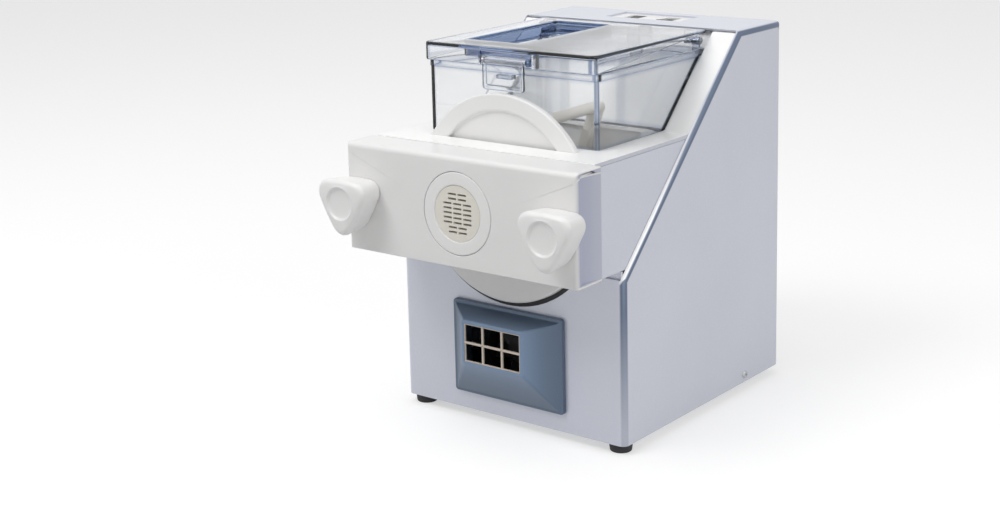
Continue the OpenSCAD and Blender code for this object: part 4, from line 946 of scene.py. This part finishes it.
def latch():
    """The clear latch: a rounded plate with a sunk window, its hinge barrel and the
    bead that clips in front of the tank's rim."""
    low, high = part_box("lid_latch")
    pin_low, pin_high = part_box("latch_pin")
    pin_y, pin_z = (pin_low[1] + pin_high[1]) / 2, (pin_low[2] + pin_high[2]) / 2
    half_w, top = high[0], pin_z + 0.001
    centre = (0, (low[2] + top) / 2)
    half_h = (top - low[2]) / 2
    front, back = low[1], low[1] + 0.003

    def plate(inset, y):
        return facing_front(rectangle(half_w - inset, half_h - inset, max(0.003 - inset, 0.0008),
                                      centre), y)

    rows = [(plate(0.0012, back), 0.15), (plate(0.0004, back - 0.0002), 0.5),
            (plate(0, back - 0.0008), 0.5), (plate(0, front + 0.0008), 0.5),
            (plate(0.0003, front + 0.0002), 0.7), (plate(0.001, front), 0.15),
            (plate(0.0034, front), 0.0), (plate(0.0040, front + 0.0004), 0.6),
            (plate(0.0044, front + 0.0012), 0.3), (plate(0.0056, front + 0.0012), 0.0)]
    grid = np.stack([row for row, _ in rows])
    # the marks paint dark reflections along the latch's edges
    marks = np.array([mark for _, mark in rows])[:, None]
    barrel = filleted([(LATCH_BORE_R, -half_w), (LATCH_BARREL_R, -half_w),
                       (LATCH_BARREL_R, half_w), (LATCH_BORE_R, half_w)], 0.0005, 2)
    bead = soft_block((-0.008, back - 0.0004, FLANGE_LOW - 0.004),
                      (0.008, high[1] - 0.0002, FLANGE_LOW - 0.0006), 0.0006)
    return piece("latch_clear", "latch_body", "clear_plastic", ["lid_latch"],
                 [(grid, False), (turned_x(barrel, pin_y, pin_z), True), (bead, False)],
                 edges=[marks, 0.15, 0.5])


# ---------------------------------------------------------------- outlet hood
HOOD_WALL = 0.002
HOOD_STEP = 0.003
CELL_W, CELL_H, BAR_W = 0.018, 0.0155, 0.002
GRILLE_Z = 0.077
BAR_FRONT = 0.0004
BAR_DEEP = 0.002
GRILLE_RIM = 0.0011
DUCT_INSET, DUCT_EDGE, DUCT_WALL_INSET = 0.0083, 0.0078, 0.0063


def outlet_hood():
    """The outlet hood: one skin from the wall flange over its step, along the four
    sloping sides to the grille's frame and back inside to the duct."""
    low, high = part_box("outlet_hood")
    half_w, half_h = high[0], (high[2] - low[2]) / 2
    middle = (low[2] + high[2]) / 2
    wall = COLUMN_Y - SEAT
    front = low[1]
    grille = (1.5 * CELL_W + 2 * BAR_W, CELL_H + 1.5 * BAR_W)

    def base(inset, y):
        return facing_front(rectangle(half_w - inset, half_h - inset, max(0.003 - inset, 0.0008),
                                      (0, middle)), y)

    def mouth(grow, y):
        return facing_front(rectangle(grille[0] + grow, grille[1] + grow, 0.002 + max(grow, -0.001),
                                      (0, GRILLE_Z)), y)

    plate = COLUMN_Y - HOOD_FLANGE
    duct_back = high[1]
    rows = [base(0.0, wall), base(0.0, plate + 0.0009), base(0.0003, plate + 0.0002),
            base(0.001, plate), base(HOOD_STEP - 0.0006, plate), base(HOOD_STEP, plate - 0.0006)]
    start, end = base(HOOD_STEP + 0.0006, plate - 0.0012), mouth(0.0016, front + 0.0012)
    rows += [start + (end - start) * share for share in np.linspace(0, 1, 6)]
    rows += [mouth(0.001, front + 0.0003), mouth(0.0, front), mouth(-BAR_W + 0.0004, front),
             mouth(-BAR_W, front + 0.0004), mouth(-BAR_W, front + HOOD_WALL),
             mouth(-0.001, front + HOOD_WALL + 0.0005),
             base(HOOD_STEP + HOOD_WALL, plate), base(DUCT_INSET, plate + 0.001),
             base(DUCT_INSET, duct_back - 0.0005), base(DUCT_EDGE, duct_back),
             base(DUCT_WALL_INSET, duct_back), base(DUCT_WALL_INSET, wall)]
    return piece("outlet_hood_shell", "machine", "hood_paint", ["outlet_hood"],
                 [(np.stack(rows), True)])


def outlet_grille():
    """The grille's bars and the thin frame round them, rounded in front, beige as a painted reflection."""
    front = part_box("outlet_hood")[0][1] + BAR_FRONT
    half_w, half_h = 1.5 * CELL_W + BAR_W, CELL_H + BAR_W / 2

    def bar(x0, x1, z0, z1):
        """A bar between these places, its heights measured from the grille's middle."""
        block = soft_block((x0, front, GRILLE_Z + z0), (x1, front + BAR_DEEP, GRILLE_Z + z1),
                           0.0006, 1)
        return block, False

    wide, tall = half_w + 0.0004, half_h + 0.0004
    grids = [bar(x - BAR_W / 2, x + BAR_W / 2, -tall, tall)
             for x in (-(CELL_W + BAR_W) / 2, (CELL_W + BAR_W) / 2)]
    grids.append(bar(-wide, wide, -BAR_W / 2, BAR_W / 2))
    wide, tall = half_w + 0.0002, half_h + 0.0002
    grids += [bar(-wide, wide, -tall, GRILLE_RIM - tall), bar(-wide, wide, tall - GRILLE_RIM, tall),
              bar(-wide, GRILLE_RIM - wide, -tall, tall), bar(wide - GRILLE_RIM, wide, -tall, tall)]
    return piece("outlet_grille", "machine", "hood_paint", [], grids, GRILLE_PAINTED_REFLECTION)


# ---------------------------------------------------------------- cheeks
RETURN_X = (-0.0009, 0.0002)
RETURN_Y = (COLUMN_Y + 0.0024, COLUMN_Y + 0.0047)
RETURN_Z = (SLOPE_FOOT_Z - 0.008, SLOPE_FOOT_Z + 0.0066)


def cheek_returns():
    """Strips that carry each cheek's return out to the casing's rim, so the corner
    over the column is closed."""
    cheek_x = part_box("cheek_right")[1][0]
    grids = []
    for sign in (-1, 1):
        near, far = sorted(sign * (cheek_x + out) for out in RETURN_X)
        grids.append((soft_block((near, RETURN_Y[0], RETURN_Z[0]),
                                 (far, RETURN_Y[1], RETURN_Z[1]), 0.0003), False))
    return piece("cheek_returns", "machine", "silver_paint", [], grids)


# ---------------------------------------------------------------- softened CAD forms
SOFTENED = (
    # piece, node, body, slot, bevel width, own finish
    ("casing_skin", "outer_casing", "machine", "silver_paint", 0.0005, CASING_PAINTED_FOLD),
    ("cheek_left_skin", "cheek_left", "machine", "silver_paint", 0.0005),
    ("cheek_right_skin", "cheek_right", "machine", "silver_paint", 0.0005),
    ("shelf_skin", "shelf_moulding", "machine", "white_plastic", 0.0003, SHELF_FINISH),
    ("bowl_skin", "bowl", "machine", "white_plastic", 0.0006),
    ("rear_panel_skin", "rear_panel", "machine", "silver_paint", 0.0003),
    ("base_skin", "base_plate", "machine", "plated_sheet", 0.0003),
    ("control_plate_skin", "control_plate", "machine", "white_plastic", 0.0004),
    ("rocker_mix_cap", "rocker_mix", "rocker_mix_body", "black_plastic", 0.0008),
    ("rocker_fan_cap", "rocker_fan", "rocker_fan_body", "black_plastic", 0.0008),
    ("inlet_skin", "power_inlet", "machine", "black_plastic", 0.0004),
    ("foot_pads", "feet", "machine", "black_rubber", 0.0010),
    ("paddle_cast", "kneading_paddle", "output_body", "food_plastic", 0.0010),
)


# ---------------------------------------------------------------- light and floor
def add_lamp(name, place, target, size, power):
    """A square soft box that shines from its place to its target."""
    data = bpy.data.lights.new(name, "AREA")
    data.shape = "RECTANGLE"
    data.size, data.size_y = size
    data.energy = power
    lamp = bpy.data.objects.new(name, data)
    aim = (Vector(place) - Vector(target)).to_track_quat("Z", "Y")
    lamp.matrix_world = Matrix.Translation(place) @ aim.to_matrix().to_4x4()
    bpy.context.collection.objects.link(lamp)


WORLD_SEEN, WORLD_LIGHT = 1.0, 0.42
FLOOR_GREY, FLOOR_GLOW, FLOOR_HALF = 0.58, 0.50, 6.0
LAMPS = (
    # name, place, target, size, power
    ("top_box", (-0.35, -0.35, 2.3), (0, 0, 0.2), (2.2, 2.2), 14.5),
    ("front_box", (-0.6, -1.35, 2.0), (0, -0.1, 0.2), (1.0, 1.0), 17.5),
    ("side_box", (1.9, -0.2, 1.0), (0, 0, 0.15), (1.2, 1.2), 10.0),
)


def add_studio():
    """White surroundings, three soft boxes and a pale floor with the object's
    shadow. The surroundings and the floor's glow are full where they are seen and
    weaker, or none, where they would light the object."""
    world = bpy.data.worlds.new("studio")
    bpy.context.scene.world = world
    world.use_nodes = True
    sky = Wiring(world.node_tree)
    back = world.node_tree.nodes["Background"]
    sky.feed(back.inputs["Color"], (1, 1, 1))
    sky.feed(back.inputs["Strength"],
             WORLD_LIGHT + sky.seen_directly() * (WORLD_SEEN - WORLD_LIGHT))
    for lamp in LAMPS:
        add_lamp(*lamp)

    mesh = bpy.data.meshes.new("floor")
    mesh.from_pydata([(x * FLOOR_HALF, y * FLOOR_HALF, 0)
                      for x, y in ((-1, -1), (1, -1), (1, 1), (-1, 1))], [], [(0, 1, 2, 3)])
    floor = bpy.data.objects.new("floor", mesh)
    bpy.context.collection.objects.link(floor)
    paper = Finish("floor", Base_Color=(FLOOR_GREY,) * 3, Roughness=0.9,
                   Specular_IOR_Level=0.1, Emission_Color=(1, 1, 1))
    paper.set("Emission Strength", paper.seen_directly() * FLOOR_GLOW)
    mesh.materials.append(paper.material)


add_camera()
dress_nodes()
front_cover()
die_ring()
for side, sign in (("left", -1), ("right", 1)):
    knob(side, sign * KNOB_X)
head_ring()
tank()
lid()
latch()
outlet_hood()
outlet_grille()
cheek_returns()
for row in SOFTENED:
    softened(*row)
add_studio()

bpy.context.scene.view_settings.view_transform = "Standard"
